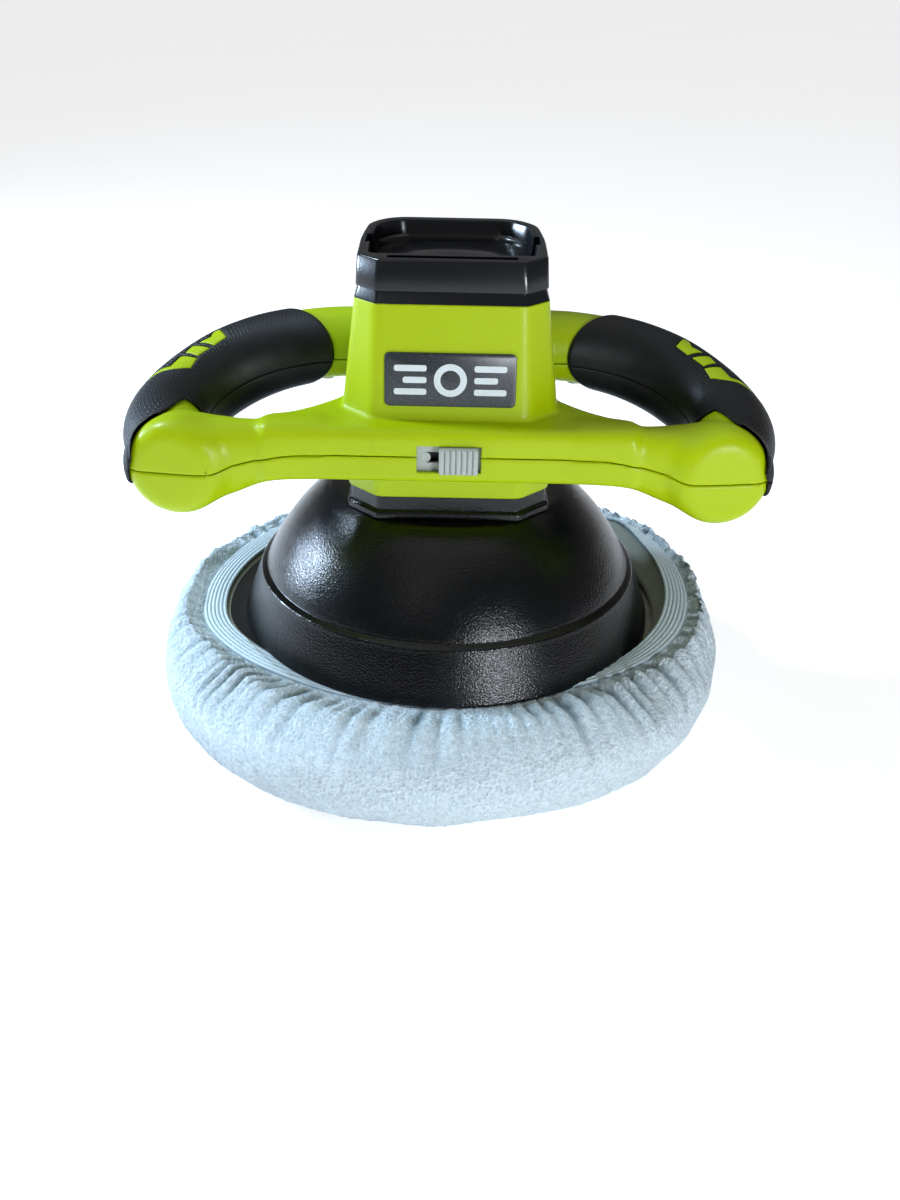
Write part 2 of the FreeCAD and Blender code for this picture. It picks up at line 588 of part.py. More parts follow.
PAD_X = "-dims.orbit_offset"
node(ring("bearing_inner_race", "7.4", "dims.stub_radius", "dims.bearing_tall", PAD_X, z="dims.bearing_low"),
     "bearing_inner_race")
race = ring("race", "dims.bearing_radius", "12", "dims.bearing_tall", PAD_X, z="dims.bearing_low")
shields = [ring(f"shield_{index}", "12.4", "7.8", "0.6", PAD_X, z=low) for index, low in enumerate(
    ("dims.bearing_low + 0.6", "dims.bearing_low + dims.bearing_tall - 1.2"))]
node(fuse("bearing_outer_race", [race] + shields), "bearing_outer_race")
node(ring("pad_washer", "7.2", "2.55", "1.5", PAD_X, z="dims.bearing_low - 1.5"), "pad_washer")
pad_bolt = fuse("pad_screw", [
    cylinder("pad_bolt_head", "5", "3.6", PAD_X, z="dims.bearing_low - 5.1"),
    cylinder("pad_bolt_shank", "2.45", "15", PAD_X, z="dims.bearing_low - 5.1")])
node(pad_bolt, "pad_screw")

# ---------------------------------------------------------------- pad, in its own frame about the pad axis

BOSS_RADIUS = "dims.bearing_radius + 4"
plate_disc = turned("plate_disc", [
    ("13", "dims.foam_top"),
    ("dims.plate_radius", "dims.foam_top"),
    ("dims.plate_radius", "dims.foam_top + dims.plate_thickness"),
    (BOSS_RADIUS, "dims.foam_top + dims.plate_thickness"),
    (BOSS_RADIUS, "dims.bearing_low + dims.bearing_tall + 1"),
    ("dims.bearing_radius + 0.02", "dims.bearing_low + dims.bearing_tall + 1"),
    ("dims.bearing_radius + 0.02", "dims.bearing_low - 0.05"),
    ("13", "dims.bearing_low - 0.05"),
], PAD_X)
RIB_COUNT = 8
rib_low = value("dims.foam_top + dims.plate_thickness") - 0.5
ribs = []
for index in range(RIB_COUNT):
    turn = Rotation(Vector(0, 0, 1), 360.0 / RIB_COUNT * index)
    rib = Part.makeBox(64, 2.5, 5.5, Vector(18, -1.25, rib_low))
    rib.Placement = Placement(Vector(value(PAD_X), 0, 0), turn)
    ribs.append(rib)
plate_ribs = feature("plate_ribs", ribs[0].fuse(ribs[1:]))
node(fuse("backing_plate", [plate_disc, plate_ribs]), "backing_plate")
node(ring("bearing_clip", "dims.bearing_radius - 0.1", "12.6", "0.9", PAD_X,
          z="dims.bearing_low + dims.bearing_tall + 0.05"), "bearing_clip")

node(turned("foam_pad", [
    ("16", "dims.cloth_thickness + 0.3"),
    ("dims.foam_radius - 15", "dims.cloth_thickness + 0.3", "19"),
    ("dims.foam_radius", "23"),
    ("dims.foam_radius", "24", "19"),
    ("dims.foam_radius - 14", "dims.foam_top"),
    ("16", "dims.foam_top"),
], PAD_X), "foam_pad")
BAND_OUTER = "dims.band_inner + dims.band_width"
node(turned("bonnet", [
    ("0", "0"),
    ("dims.bonnet_radius - 21", "0", "25"),
    ("dims.bonnet_radius", "23.5", "25"),
    (f"{BAND_OUTER} + 0.5", "dims.bonnet_height", "0"),
    (f"{BAND_OUTER} - 2", "dims.bonnet_height - 3.5", "-22"),
    ("dims.bonnet_radius - dims.cloth_thickness", "24", "-20"),
    ("dims.bonnet_radius - 21", "dims.cloth_thickness"),
    ("0", "dims.cloth_thickness"),
], PAD_X), "bonnet")
node(ring("elastic_band", BAND_OUTER, "dims.band_inner", "2.4", PAD_X, z="dims.bonnet_height + 0.1"),
     "elastic_band")

# ---------------------------------------------------------------- leads, held inside the housing

LEAD_RADIUS = 1.3
node(feature("battery_lead", tube(
    [(6, -18.5, 168), (6, -26, 167), (5, -31, 158), (4, -33, 148), (2, -37, 140), (2, -43.6, 138)],
    LEAD_RADIUS)), "battery_lead")
node(feature("switch_lead", tube(
    [(-4, -43.6, 138), (-5, -36, 140), (-7, -32, 148), (-9, -27, 157), (-10, -18, 160.6), (-10, -9, 160.4),
     (-10, -5, 157)], LEAD_RADIUS)), "switch_lead")
node(feature("return_lead", tube(
    [(-6, -18.5, 168), (-3, -25, 167), (3, -28, 162), (9, -22, 160), (13, -12, 160), (13, -5, 156.5)],
    LEAD_RADIUS)), "return_lead")

# ---------------------------------------------------------------- check and write

doc.recompute()
for item in doc.Objects:
    if {"Invalid", "Error"} & set(item.State):
        raise RuntimeError(f"{item.Label} failed: {item.State}")
for item in nodes:
    if item.Shape.isNull() or not item.Shape.isValid() or not item.Shape.Solids:
        raise RuntimeError(f"{item.Label} has no valid shape")
    item.Shape.exportStep(os.path.join("parts", item.Label + ".step"))
print(len(nodes), "sub-parts written")
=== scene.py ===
# Cordless orbital buffer with two loop handles: its looks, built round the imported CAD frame.
# The sections follow the machine as it is put together: housing, grips, battery port, plate, switch,
# neck, shroud, pad, bonnet, inner parts, and last the room, lights and camera.
import math

import bmesh
import bpy
import numpy as np
from mathutils import Matrix


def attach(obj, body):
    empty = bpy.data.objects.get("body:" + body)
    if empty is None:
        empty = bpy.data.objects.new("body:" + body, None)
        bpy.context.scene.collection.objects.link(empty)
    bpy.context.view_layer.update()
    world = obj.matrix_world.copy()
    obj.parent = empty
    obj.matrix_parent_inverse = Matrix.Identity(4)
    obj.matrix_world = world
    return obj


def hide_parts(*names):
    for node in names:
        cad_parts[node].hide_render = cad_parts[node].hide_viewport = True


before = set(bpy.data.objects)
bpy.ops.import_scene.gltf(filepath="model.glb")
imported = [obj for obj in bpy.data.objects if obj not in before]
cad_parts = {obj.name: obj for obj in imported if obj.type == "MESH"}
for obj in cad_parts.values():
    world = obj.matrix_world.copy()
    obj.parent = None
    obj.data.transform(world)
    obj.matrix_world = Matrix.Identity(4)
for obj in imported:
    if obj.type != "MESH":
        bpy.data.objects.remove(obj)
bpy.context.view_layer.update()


# ------------------------------------------------------------------------------------------------
# Housing: two lime ABS mouldings, injection moulded with a fine leather grain, that meet on a seam
# along the bar and round both loops. They are screwed together from below, so the seam is a thin gap.

MM = 0.001


def soft_least(a, b, fillet):
    """Least of two distances, less fillet * h * h / 4, where h falls from 1 to 0 as they draw apart."""
    h = np.maximum(fillet - np.abs(a - b), 0.0) / fillet
    return np.minimum(a, b) - 0.25 * fillet * h * h


def soft_most(a, b, edge):
    """Most of two distances, with the edge between them rounded in the same way."""
    return -soft_least(-a, -b, edge)


def smooth_path(stations, steps):
    """Catmull-Rom curve through stations: a cubic in t per span, whose slope at a station is half the
    way between its neighbours."""
    knots = np.array(stations, float)
    knots = np.vstack([2 * knots[0] - knots[1], knots, 2 * knots[-1] - knots[-2]])
    t = np.arange(steps)[:, None, None] / steps
    a, b, c, d = knots[:-3], knots[1:-2], knots[2:-1], knots[3:]
    curve = 0.5 * (2 * b + (c - a) * t + (2 * a - 5 * b + 4 * c - d) * t**2 + (3 * b - a - 3 * c + d) * t**3)
    return np.vstack([curve.transpose(1, 0, 2).reshape(-1, knots.shape[1]), knots[-2]])


def tube_distance(x, y, z, path):
    """Least, over the short spans of a path (x, y, z, radius), of the distance to the span's axis less
    the radius at the nearest place on it."""
    nearest = np.full(np.broadcast(x, y, z).shape, 1e6)
    for start, end in zip(path[:-1], path[1:]):
        ax, ay, az, widen = end - start
        px, py, pz = x - start[0], y - start[1], z - start[2]
        t = np.clip((px * ax + py * ay + pz * az) / (ax * ax + ay * ay + az * az), 0.0, 1.0)
        gap = np.sqrt((px - t * ax) ** 2 + (py - t * ay) ** 2 + (pz - t * az) ** 2)
        np.minimum(nearest, gap - (start[3] + t * widen), out=nearest)
    return nearest


# Right loop, as stations (x, y, z, radius) in millimetres. The left loop mirrors it.
ARM = [
    (38.0, 25.0, 159.8, 15.2),
    (54.0, 25.5, 158.8, 15.4),
    (70.0, 26.0, 156.0, 15.8),
    (84.0, 24.5, 152.5, 16.3),
    (98.0, 19.5, 147.5, 16.7),
    (110.3, 9.0, 141.5, 16.7),
    (118.0, -5.0, 136.8, 16.6),
    (119.8, -20.0, 134.0, 16.7),
    (116.0, -33.5, 132.6, 17.0),
    (108.0, -43.0, 132.0, 16.5),
]
NECK = [
    (107.5, -44.5, 132.2, 17.0),
    (97.0, -47.6, 133.2, 16.8),
    (84.0, -48.6, 135.4, 14.0),
    (71.0, -48.4, 137.8, 11.6),
    (56.0, -46.5, 138.4, 10.4),
]
BULB = (108.3, -44.5, 131.9)
BULB_RADIUS = 20.4
BULB_NOSE = 17.6
arm_path = smooth_path(ARM, 6)
neck_path = smooth_path(NECK, 5)


def bulb_distance(x, y, z):
    """Round bar end: distance to its axis less the radius, cut off by a front face and a back face, with
    wide rounded edges."""
    ax, ay = 0.10, -0.995
    px, py, pz = x - BULB[0], y - BULB[1], z - BULB[2]
    along = px * ax + py * ay
    around = np.sqrt(np.maximum(px**2 + py**2 + pz**2 - along**2, 1e-6)) - BULB_RADIUS
    return soft_most(soft_most(around, along - BULB_NOSE, 9.0), -along - 6.0, 14.0)


# Tower: height, half width, and how far each flat reaches before the cut corner.
TOWER = np.array([(110, 42.2, 29.4), (149.5, 44.4, 31.6), (195, 39.0, 30.0), (200, 38.5, 29.9)])
BAR_HALF, BAR_FRONT, BAR_LOW, BAR_TOP = 74.0, -57.0, 127.0, 149.5


def tower_distance(x, y, z):
    """Square tower whose half width falls evenly with height, its corners cut at 45 degrees."""
    half = np.interp(z, TOWER[:, 0], TOWER[:, 1])
    corner = np.interp(z, TOWER[:, 0], TOWER[:, 2])
    flats = np.maximum(x - half, np.abs(y) - half)
    return soft_most(flats, (x + np.abs(y) - half - corner) * math.sqrt(0.5), 2.2)


def bar_distance(x, y, z):
    """Flat bar: its back edge is a parabola that runs into the tower, its front edges are rounded."""
    inward = np.clip(BAR_HALF - x, 0.0, 60.0)
    back_edge = -40.0 + 0.3 * inward + 0.0189 * inward**2
    slope = 0.3 + 0.0378 * inward
    back = soft_most((y - back_edge) / np.sqrt(1.0 + slope**2), x - BAR_HALF, 4.0)
    front = soft_most(soft_most(BAR_FRONT - y, z - BAR_TOP, 5.5), BAR_LOW - z, 3.5)
    return soft_most(front, back, 2.5)


def neck_distance(x, y, z):
    """Tube from the bulb to the bar, its front pared to a face that runs out from the bar to the bulb."""
    share = np.clip((x - 66.0) / 42.0, 0.0, 1.0)
    face = BAR_FRONT - 4.6 * share * share * (3.0 - 2.0 * share)
    return soft_most(tube_distance(x, y, z, neck_path), face - y, 7.0)


def housing_distance(x, y, z):
    """Tower, bar and loops joined, each joint with its own fillet. Both sides are alike, so x counts
    without its sign."""
    x = np.abs(x)
    ring = soft_least(tube_distance(x, y, z, arm_path), bulb_distance(x, y, z), 3.0)
    ring = soft_least(ring, neck_distance(x, y, z), 4.0)
    front = soft_least(bar_distance(x, y, z), ring, 5.0)
    return soft_least(tower_distance(x, y, z), front, 1.8)


def level_net(distance, low, high, step):
    """Quads over the zero level of a distance: each grid cell that the level crosses has one point, at
    the mean of the crossings on its edges, and each crossed grid edge has one quad through its four cells."""
    axes = [np.arange(a, b + step, step) for a, b in zip(low, high)]
    value = distance(*np.meshgrid(*axes, indexing="ij", sparse=True))
    inner = value < 0
    count = np.zeros([n - 1 for n in value.shape], int)
    centre = np.zeros(count.shape + (3,))
    crossed = []
    for axis in range(3):
        before = value[tuple(slice(None, -1) if k == axis else slice(None) for k in range(3))]
        after = value[tuple(slice(1, None) if k == axis else slice(None) for k in range(3))]
        flips = (before < 0) != (after < 0)
        place = np.argwhere(flips)
        share = before[flips] / (before[flips] - after[flips])
        spot = place.astype(float)
        spot[:, axis] += share
        others = [k for k in range(3) if k != axis]
        for da in (0, 1):
            for db in (0, 1):
                cell = place.copy()
                cell[:, others[0]] -= da
                cell[:, others[1]] -= db
                fine = np.all((cell >= 0) & (cell < count.shape), axis=1)
                where = tuple(cell[fine].T)
                np.add.at(count, where, 1)
                np.add.at(centre, where, spot[fine])
        crossed.append((axis, others, place, before[flips] < 0))
    used = count > 0
    number = np.full(count.shape, -1)
    number[used] = np.arange(used.sum())
    points = centre[used] / count[used][:, None] * step + np.array(low)
    quads = []
    for axis, others, place, rising in crossed:
        inside = np.all([(place[:, k] > 0) & (place[:, k] < count.shape[k]) for k in others], axis=0)
        place, rising = place[inside], rising[inside]
        ring = []
        for da, db in ((1, 1), (0, 1), (0, 0), (1, 0)):
            cell = place.copy()
            cell[:, others[0]] -= da
            cell[:, others[1]] -= db
            ring.append(number[tuple(cell.T)])
        ring = np.stack(ring, 1)
        turn = rising if axis != 1 else ~rising
        quads.append(np.where(turn[:, None], ring, ring[:, ::-1]))
    return points, np.vstack(quads)


def uphill(distance, points):
    """Direction in which a distance grows, from its change over a small step either way along each axis."""
    step = 0.04
    slope = []
    for shift in np.eye(3) * step:
        slope.append(distance(*(points + shift).T) - distance(*(points - shift).T))
    slope = np.stack(slope, 1) / (2 * step)
    return slope / np.linalg.norm(slope, axis=1)[:, None]


def in_triangles(quads):
    return np.vstack([quads[:, [0, 1, 2]], quads[:, [0, 2, 3]]])


def compacted(points, triangles):
    used, fresh = np.unique(triangles, return_inverse=True)
    return points[used], fresh.reshape(triangles.shape)


def scored(points, triangles, side):
    """The mesh with its triangles cut along the line where side is 0: a new point on each cut edge, in
    proportion to side at its two ends."""
    above = side[triangles] > 0
    total = above.sum(1)
    mixed = (total == 1) | (total == 2)
    odd = np.where(total == 1, above.argmax(1), (~above).argmax(1))[mixed]
    turned = np.take_along_axis(triangles[mixed], (odd[:, None] + np.arange(3)) % 3, 1)
    a, b, c = turned.T
    edges, number = np.unique(np.sort(np.vstack([np.c_[a, b], np.c_[a, c]]), 1), axis=0, return_inverse=True)
    start, end = edges.T
    share = (side[start] / (side[start] - side[end]))[:, None]
    fresh = points[start] + share * (points[end] - points[start])
    ab, ac = (number.reshape(-1) + len(points)).reshape(2, -1)
    triangles = np.vstack([triangles[~mixed], np.c_[a, ab, ac], np.c_[ab, b, c], np.c_[ab, c, ac]])
    return np.vstack([points, fresh]), triangles, np.concatenate([side, np.zeros(len(fresh))])


def trimmed(points, triangles, side):
    """What is left of a mesh where side is above 0, cut exactly along its zero line."""
    points, triangles, side = scored(points, triangles, side)
    return compacted(points, triangles[side[triangles].sum(1) > 0])


def put_piece(name, points, faces, uv=None, masks=None):
    """A mesh object from points in millimetres, shaded smooth. uv is a pair per point, and masks holds named
    values per point."""
    mesh = bpy.data.meshes.new(name)
    mesh.from_pydata((points[:, :3] * MM).tolist(), [], faces.tolist())
    if uv is not None:
        layer = mesh.uv_layers.new(name="along_around")
        corner = np.empty(len(mesh.loops), np.int32)
        mesh.loops.foreach_get("vertex_index", corner)
        layer.data.foreach_set("uv", uv[corner].astype(np.float32).ravel())
    for label, values in (masks or {}).items():
        layer = mesh.attributes.new(label, "FLOAT", "POINT")
        layer.data.foreach_set("value", values.astype(np.float32))
    mesh.shade_smooth()
    piece = bpy.data.objects.new(name, mesh)
    bpy.context.scene.collection.objects.link(piece)
    return piece


def welded(piece, reach):
    """Merges the points of a piece that lie closer than reach, in millimetres."""
    work = bmesh.new()
    work.from_mesh(piece.data)
    bmesh.ops.remove_doubles(work, verts=work.verts, dist=reach * MM)
    work.to_mesh(piece.data)
    work.free()
    piece.data.shade_smooth()
    return piece


def with_wall(piece, thickness):
    """Gives an outer skin a wall, inwards, with its edges closed."""
    wall = piece.modifiers.new("wall", "SOLIDIFY")
    wall.thickness = thickness * MM
    wall.offset = -1.0
    wall.use_even_offset = False
    return piece


# The seam between the mouldings: distance from the middle, its height at y -60, its height at y 30.
PARTING = smooth_path([
    (0.0, 137.5, 160.5),
    (25.0, 137.5, 160.5),
    (50.0, 137.5, 160.5),
    (65.0, 137.3, 158.0),
    (81.0, 134.5, 154.3),
    (95.0, 132.0, 150.2),
    (110.0, 131.4, 144.7),
    (119.0, 131.3, 139.5),
    (145.0, 131.3, 131.0),
], 8)


def parting_height(x, y):
    """Height of the seam: straight from front to back, on a smooth curve from the middle outwards."""
    front = np.interp(np.abs(x), PARTING[:, 0], PARTING[:, 1])
    back = np.interp(np.abs(x), PARTING[:, 0], PARTING[:, 2])
    return front + (back - front) * (y + 60.0) / 90.0


GRID_STEP = 1.15
SEAM_HALF_GAP = 0.17
SLOT_HALF, SLOT_LOW, SLOT_HIGH = 12.9, 131.7, 143.1
SKIRT_LOW, TOWER_TOP = 114.5, 195.0
HOUSING_WALL = 2.4
SCREW_PLACES = [(108.5, -44.5, 112.5), (54.0, -47.0, 128.5), (56.0, 25.5, 145.5)]

skin, quads = level_net(housing_distance, (-147.0, -68.0, 107.5), (147.0, 47.0, 199.0), GRID_STEP)
for _ in range(2):
    skin = skin - housing_distance(*skin.T)[:, None] * uphill(housing_distance, skin)
skirt = np.maximum(skin[:, 2] - SKIRT_LOW, np.abs(skin[:, 0]) - 60.0)
skin, skin_triangles = trimmed(skin, in_triangles(quads), skirt)
skin, skin_triangles = trimmed(skin, skin_triangles, TOWER_TOP - skin[:, 2])
skin, skin_triangles, _ = scored(skin, skin_triangles, skin[:, 2] - SLOT_HIGH)
skin, skin_triangles, _ = scored(skin, skin_triangles, skin[:, 2] - SLOT_LOW)
skin, skin_triangles, _ = scored(skin, skin_triangles, skin[:, 0] - SLOT_HALF)
skin, skin_triangles, _ = scored(skin, skin_triangles, skin[:, 0] + SLOT_HALF)
middle = skin[skin_triangles].mean(1)
in_slot = (np.abs(middle[:, 0]) < SLOT_HALF) & (middle[:, 2] > SLOT_LOW) & (middle[:, 2] < SLOT_HIGH)
skin, skin_triangles = compacted(skin, skin_triangles[~(in_slot & (middle[:, 1] < -50.0))])
for x, y, z in SCREW_PLACES:
    around = np.hypot(np.abs(skin[:, 0]) - x, skin[:, 1] - y) - 3.7
    skin, skin_triangles = trimmed(skin, skin_triangles, np.maximum(around, skin[:, 2] - z - 6.0))


def housing_half(name, upper):
    """One moulding: the skin above or below the seam, its edge turned in a little along the seam."""
    side = (skin[:, 2] - parting_height(skin[:, 0], skin[:, 1])) * (1.0 if upper else -1.0)
    points, triangles = trimmed(skin, skin_triangles, side - SEAM_HALF_GAP)
    out = uphill(housing_distance, points)
    near = np.abs(points[:, 2] - parting_height(points[:, 0], points[:, 1])) - SEAM_HALF_GAP
    points = points - out * (0.28 * np.clip(1.0 - near / 0.55, 0.0, 1.0) ** 2)[:, None]
    piece = welded(put_piece(name, points, triangles), 0.08)
    with_wall(piece, HOUSING_WALL)
    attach(piece, "housing")
    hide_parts(name + "_housing")
    return piece


def colour(code):
    """Linear colour from an sRGB hex code."""
    parts = np.array([int(code[k:k + 2], 16) for k in (1, 3, 5)]) / 255.0
    linear = np.where(parts <= 0.04045, parts / 12.92, ((parts + 0.055) / 1.055) ** 2.4)
    return (*linear, 1.0)


def add(material, kind, inputs=None, **properties):
    """Adds one node to a material. Its properties are set, and each input gets a value or the output of
    another node."""
    node = material.node_tree.nodes.new("ShaderNode" + kind)
    for name, value in properties.items():
        setattr(node, name, value)
    for socket, value in (inputs or {}).items():
        if isinstance(value, bpy.types.NodeSocket):
            material.node_tree.links.new(value, node.inputs[socket])
        else:
            node.inputs[socket].default_value = value
    return node


def colour_mix(material, factor, first, second):
    """A node that goes from the first colour to the second as factor goes from nought to one. Its colour
    is output 2."""
    return add(material, "Mix", {0: factor, 6: colour(first), 7: colour(second)}, data_type="RGBA")


def blank_material(name):
    material = bpy.data.materials.new(name)
    material.use_nodes = True
    material.node_tree.nodes.clear()
    return material


def finish_material(material, **inputs):
    """Ends a material with its shader, each underscore in an input's name standing for a space."""
    shader = add(material, "BsdfPrincipled", {name.replace("_", " "): v for name, v in inputs.items()})
    add(material, "OutputMaterial", {"Surface": shader.outputs["BSDF"]})
    return material


# Lime ABS, moulded in a spark-eroded tool: pebbles 0.9 mm across give a broken, sparkling gloss.
LIME = blank_material("lime_abs_leather_grain")
place = add(LIME, "TexCoord").outputs["Object"]
pebbles = add(LIME, "TexVoronoi", {"Vector": place, "Scale": 1050.0, "Smoothness": 0.6}, feature="SMOOTH_F1")
ripple = add(LIME, "TexNoise", {"Vector": place, "Scale": 420.0, "Detail": 3.0})
grain = add(LIME, "Math", {0: pebbles.outputs["Distance"], 1: ripple.outputs["Fac"]}, operation="ADD")
bump = add(LIME, "Bump", {"Height": grain.outputs[0], "Strength": 0.55, "Distance": 0.00007})
drift = add(LIME, "TexNoise", {"Vector": place, "Scale": 22.0, "Detail": 2.0})
tint = colour_mix(LIME, drift.outputs["Fac"], "#9fb500", "#a7be00")
gloss = add(LIME, "MapRange", {0: ripple.outputs["Fac"], 1: 0.3, 2: 0.7, 3: 0.3, 4: 0.42})
finish_material(LIME, Base_Color=tint.outputs[2], Roughness=gloss.outputs[0], IOR=1.5,
                Specular_IOR_Level=0.25, Normal=bump.outputs[0])

upper_housing = housing_half("upper", True)
lower_housing = housing_half("lower", False)
for piece in (upper_housing, lower_housing):
    piece.name = piece.name + "_moulding"
    piece.data.materials.append(LIME)


# ------------------------------------------------------------------------------------------------
# Grips: soft black TPE moulded over the outside of each loop, split at the same seam. The upper ones
# leave three windows where the lime moulding comes up flush, the last with a tail that tapers away.

GRIP_SKIN = 1.4
grip_path = smooth_path(ARM, 24)
grip_axis = grip_path[:, :3]
grip_run = np.concatenate([[0.0], np.cumsum(np.linalg.norm(np.diff(grip_axis, axis=0), axis=1))])
DEGREE_MM = 0.31


def grip_frame(run):
    """Axis point, radius, and the two directions across the loop at a distance along it: up, and inwards."""
    axis = np.stack([np.interp(run, grip_run, grip_axis[:, k]) for k in range(3)], -1)
    radius = np.interp(run, grip_run, grip_path[:, 3])
    ahead = np.stack([np.interp(run + 0.5, grip_run, grip_axis[:, k]) for k in range(3)], -1)
    behind = np.stack([np.interp(run - 0.5, grip_run, grip_axis[:, k]) for k in range(3)], -1)
    along = (ahead - behind) / np.linalg.norm(ahead - behind, axis=-1, keepdims=True)
    up = np.array([0.0, 0.0, 1.0]) - along[..., 2:3] * along
    up = up / np.linalg.norm(up, axis=-1, keepdims=True)
    return axis, radius, up, np.cross(along, up)


def grip_seam(run, sign):
    """Angle from the top at which the ring round the loop meets the seam, on the inner or outer side."""
    axis, radius, up, inward = grip_frame(run)
    angle = np.linspace(0.0, np.pi, 361)
    across = (np.cos(angle)[None, :, None] * up[:, None]
              + sign * np.sin(angle)[None, :, None] * inward[:, None])
    ring = axis[:, None] + (radius + GRIP_SKIN)[:, None, None] * across
    height = ring[..., 2] - parting_height(ring[..., 0], ring[..., 1])
    last = np.argmax(height < 0, axis=1)
    rows = np.arange(len(run))
    before, after = height[rows, last - 1], height[rows, last]
    return sign * (angle[last - 1] + before / (before - after) * angle[1])


# Windows as outlines of (distance along the loop, degrees from the top), and the tail's middle line.
WINDOWS = [
    [(59.7, 20.3), (67.4, 19.6), (70.6, -9.9), (65.2, -2.8), (62.4, -15.5), (59.7, -12.7)],
    [(69.5, 18.7), (77.7, 15.0), (78.8, -10.3), (73.3, -13.0)],
    [(78.8, 17.2), (86.9, 19.9), (90.7, 5.3), (92.4, -4.9), (94.2, -22.0), (98.5, -42.0), (105.0, -62.0),
     (113.0, -78.0), (112.2, -79.5), (103.0, -65.0), (95.5, -46.0), (91.3, -29.0), (89.6, -11.5),
     (81.5, -10.4)],
]


def outline_distance(u, v, outline):
    """Distance to an outline: the nearest of its sides, negative inside by counting crossings."""
    corners = np.array(outline, float) * (1.0, DEGREE_MM)
    nearest = np.full(u.shape, 1e6)
    odd = np.zeros(u.shape, bool)
    for (ax, ay), (bx, by) in zip(corners, np.roll(corners, -1, axis=0)):
        t = np.clip(((u - ax) * (bx - ax) + (v - ay) * (by - ay)) / ((bx - ax) ** 2 + (by - ay) ** 2), 0, 1)
        nearest = np.minimum(nearest, np.hypot(u - ax - t * (bx - ax), v - ay - t * (by - ay)))
        crossing = (ay > v) != (by > v)
        level = np.where(by == ay, 1.0, by - ay)
        odd ^= crossing & (u < ax + (v - ay) * (bx - ax) / level)
    return np.where(odd, -nearest, nearest)


def grip_sheet(first, last, rows, columns, low_angle, high_angle, skin_depth):
    """Patch of the loop's surface: rows along it, columns between two angles. Each point carries its
    place, its outward direction, its distance along the loop and its angle in degrees."""
    run = np.linspace(first, last, rows)
    axis, radius, up, inward = grip_frame(run)
    low, high = low_angle(run), high_angle(run)
    angle = low[:, None] + (high - low)[:, None] * np.linspace(0.0, 1.0, columns)
    out = np.cos(angle)[..., None] * up[:, None] + np.sin(angle)[..., None] * inward[:, None]
    spot = (axis[:, None] + (radius + skin_depth)[:, None, None] * out).reshape(-1, 3)
    for _ in range(3):
        slope = uphill(housing_distance, spot)
        spot = spot - (housing_distance(*spot.T) - skin_depth)[:, None] * slope
    spot, out = spot.reshape(out.shape), slope.reshape(out.shape)
    data = np.concatenate([spot, out, np.broadcast_to(run[:, None, None], angle.shape + (1,)),
                           np.degrees(angle)[..., None]], -1)
    return data.reshape(-1, 8), in_triangles(grid_quads(rows, columns))


def grid_quads(rows, columns, closed=False):
    """Corner numbers of the quads of a grid of points held row by row, its rows closed into rings or not."""
    number = np.arange(rows * columns).reshape(rows, columns)
    if closed:
        number = np.hstack([number, number[:, :1]])
    return np.stack([number[:-1, :-1], number[:-1, 1:], number[1:, 1:], number[1:, :-1]], -1).reshape(-1, 4)


def root_edge(points):
    return points[:, 0] - points[:, 1] - 42.3


def bulb_edge(points):
    outside = 0.9 * points[:, 0] + 0.28 * points[:, 1] + 0.33 * points[:, 2] - 141.6
    return np.maximum(outside, 0.8 * (116.0 - points[:, 6]))


def windows_edge(points):
    u, v = points[:, 6], points[:, 7] * DEGREE_MM
    return np.min([outline_distance(u, v, outline) for outline in WINDOWS], axis=0)


SEAM_ANGLE = 0.012
ROLL = 0.8
# Where a grip sheet starts and stops along the loop, in millimetres, before it is trimmed. The stop lies
# past the end of grip_path, so the last rows of the upper sheet have no direction and come out as NaN.
SHEET_START, SHEET_STOP = 11.0, 140.0
UPPER_MESH, LOWER_MESH = (215, 96), (150, 64)       # rows along the loop, columns round it


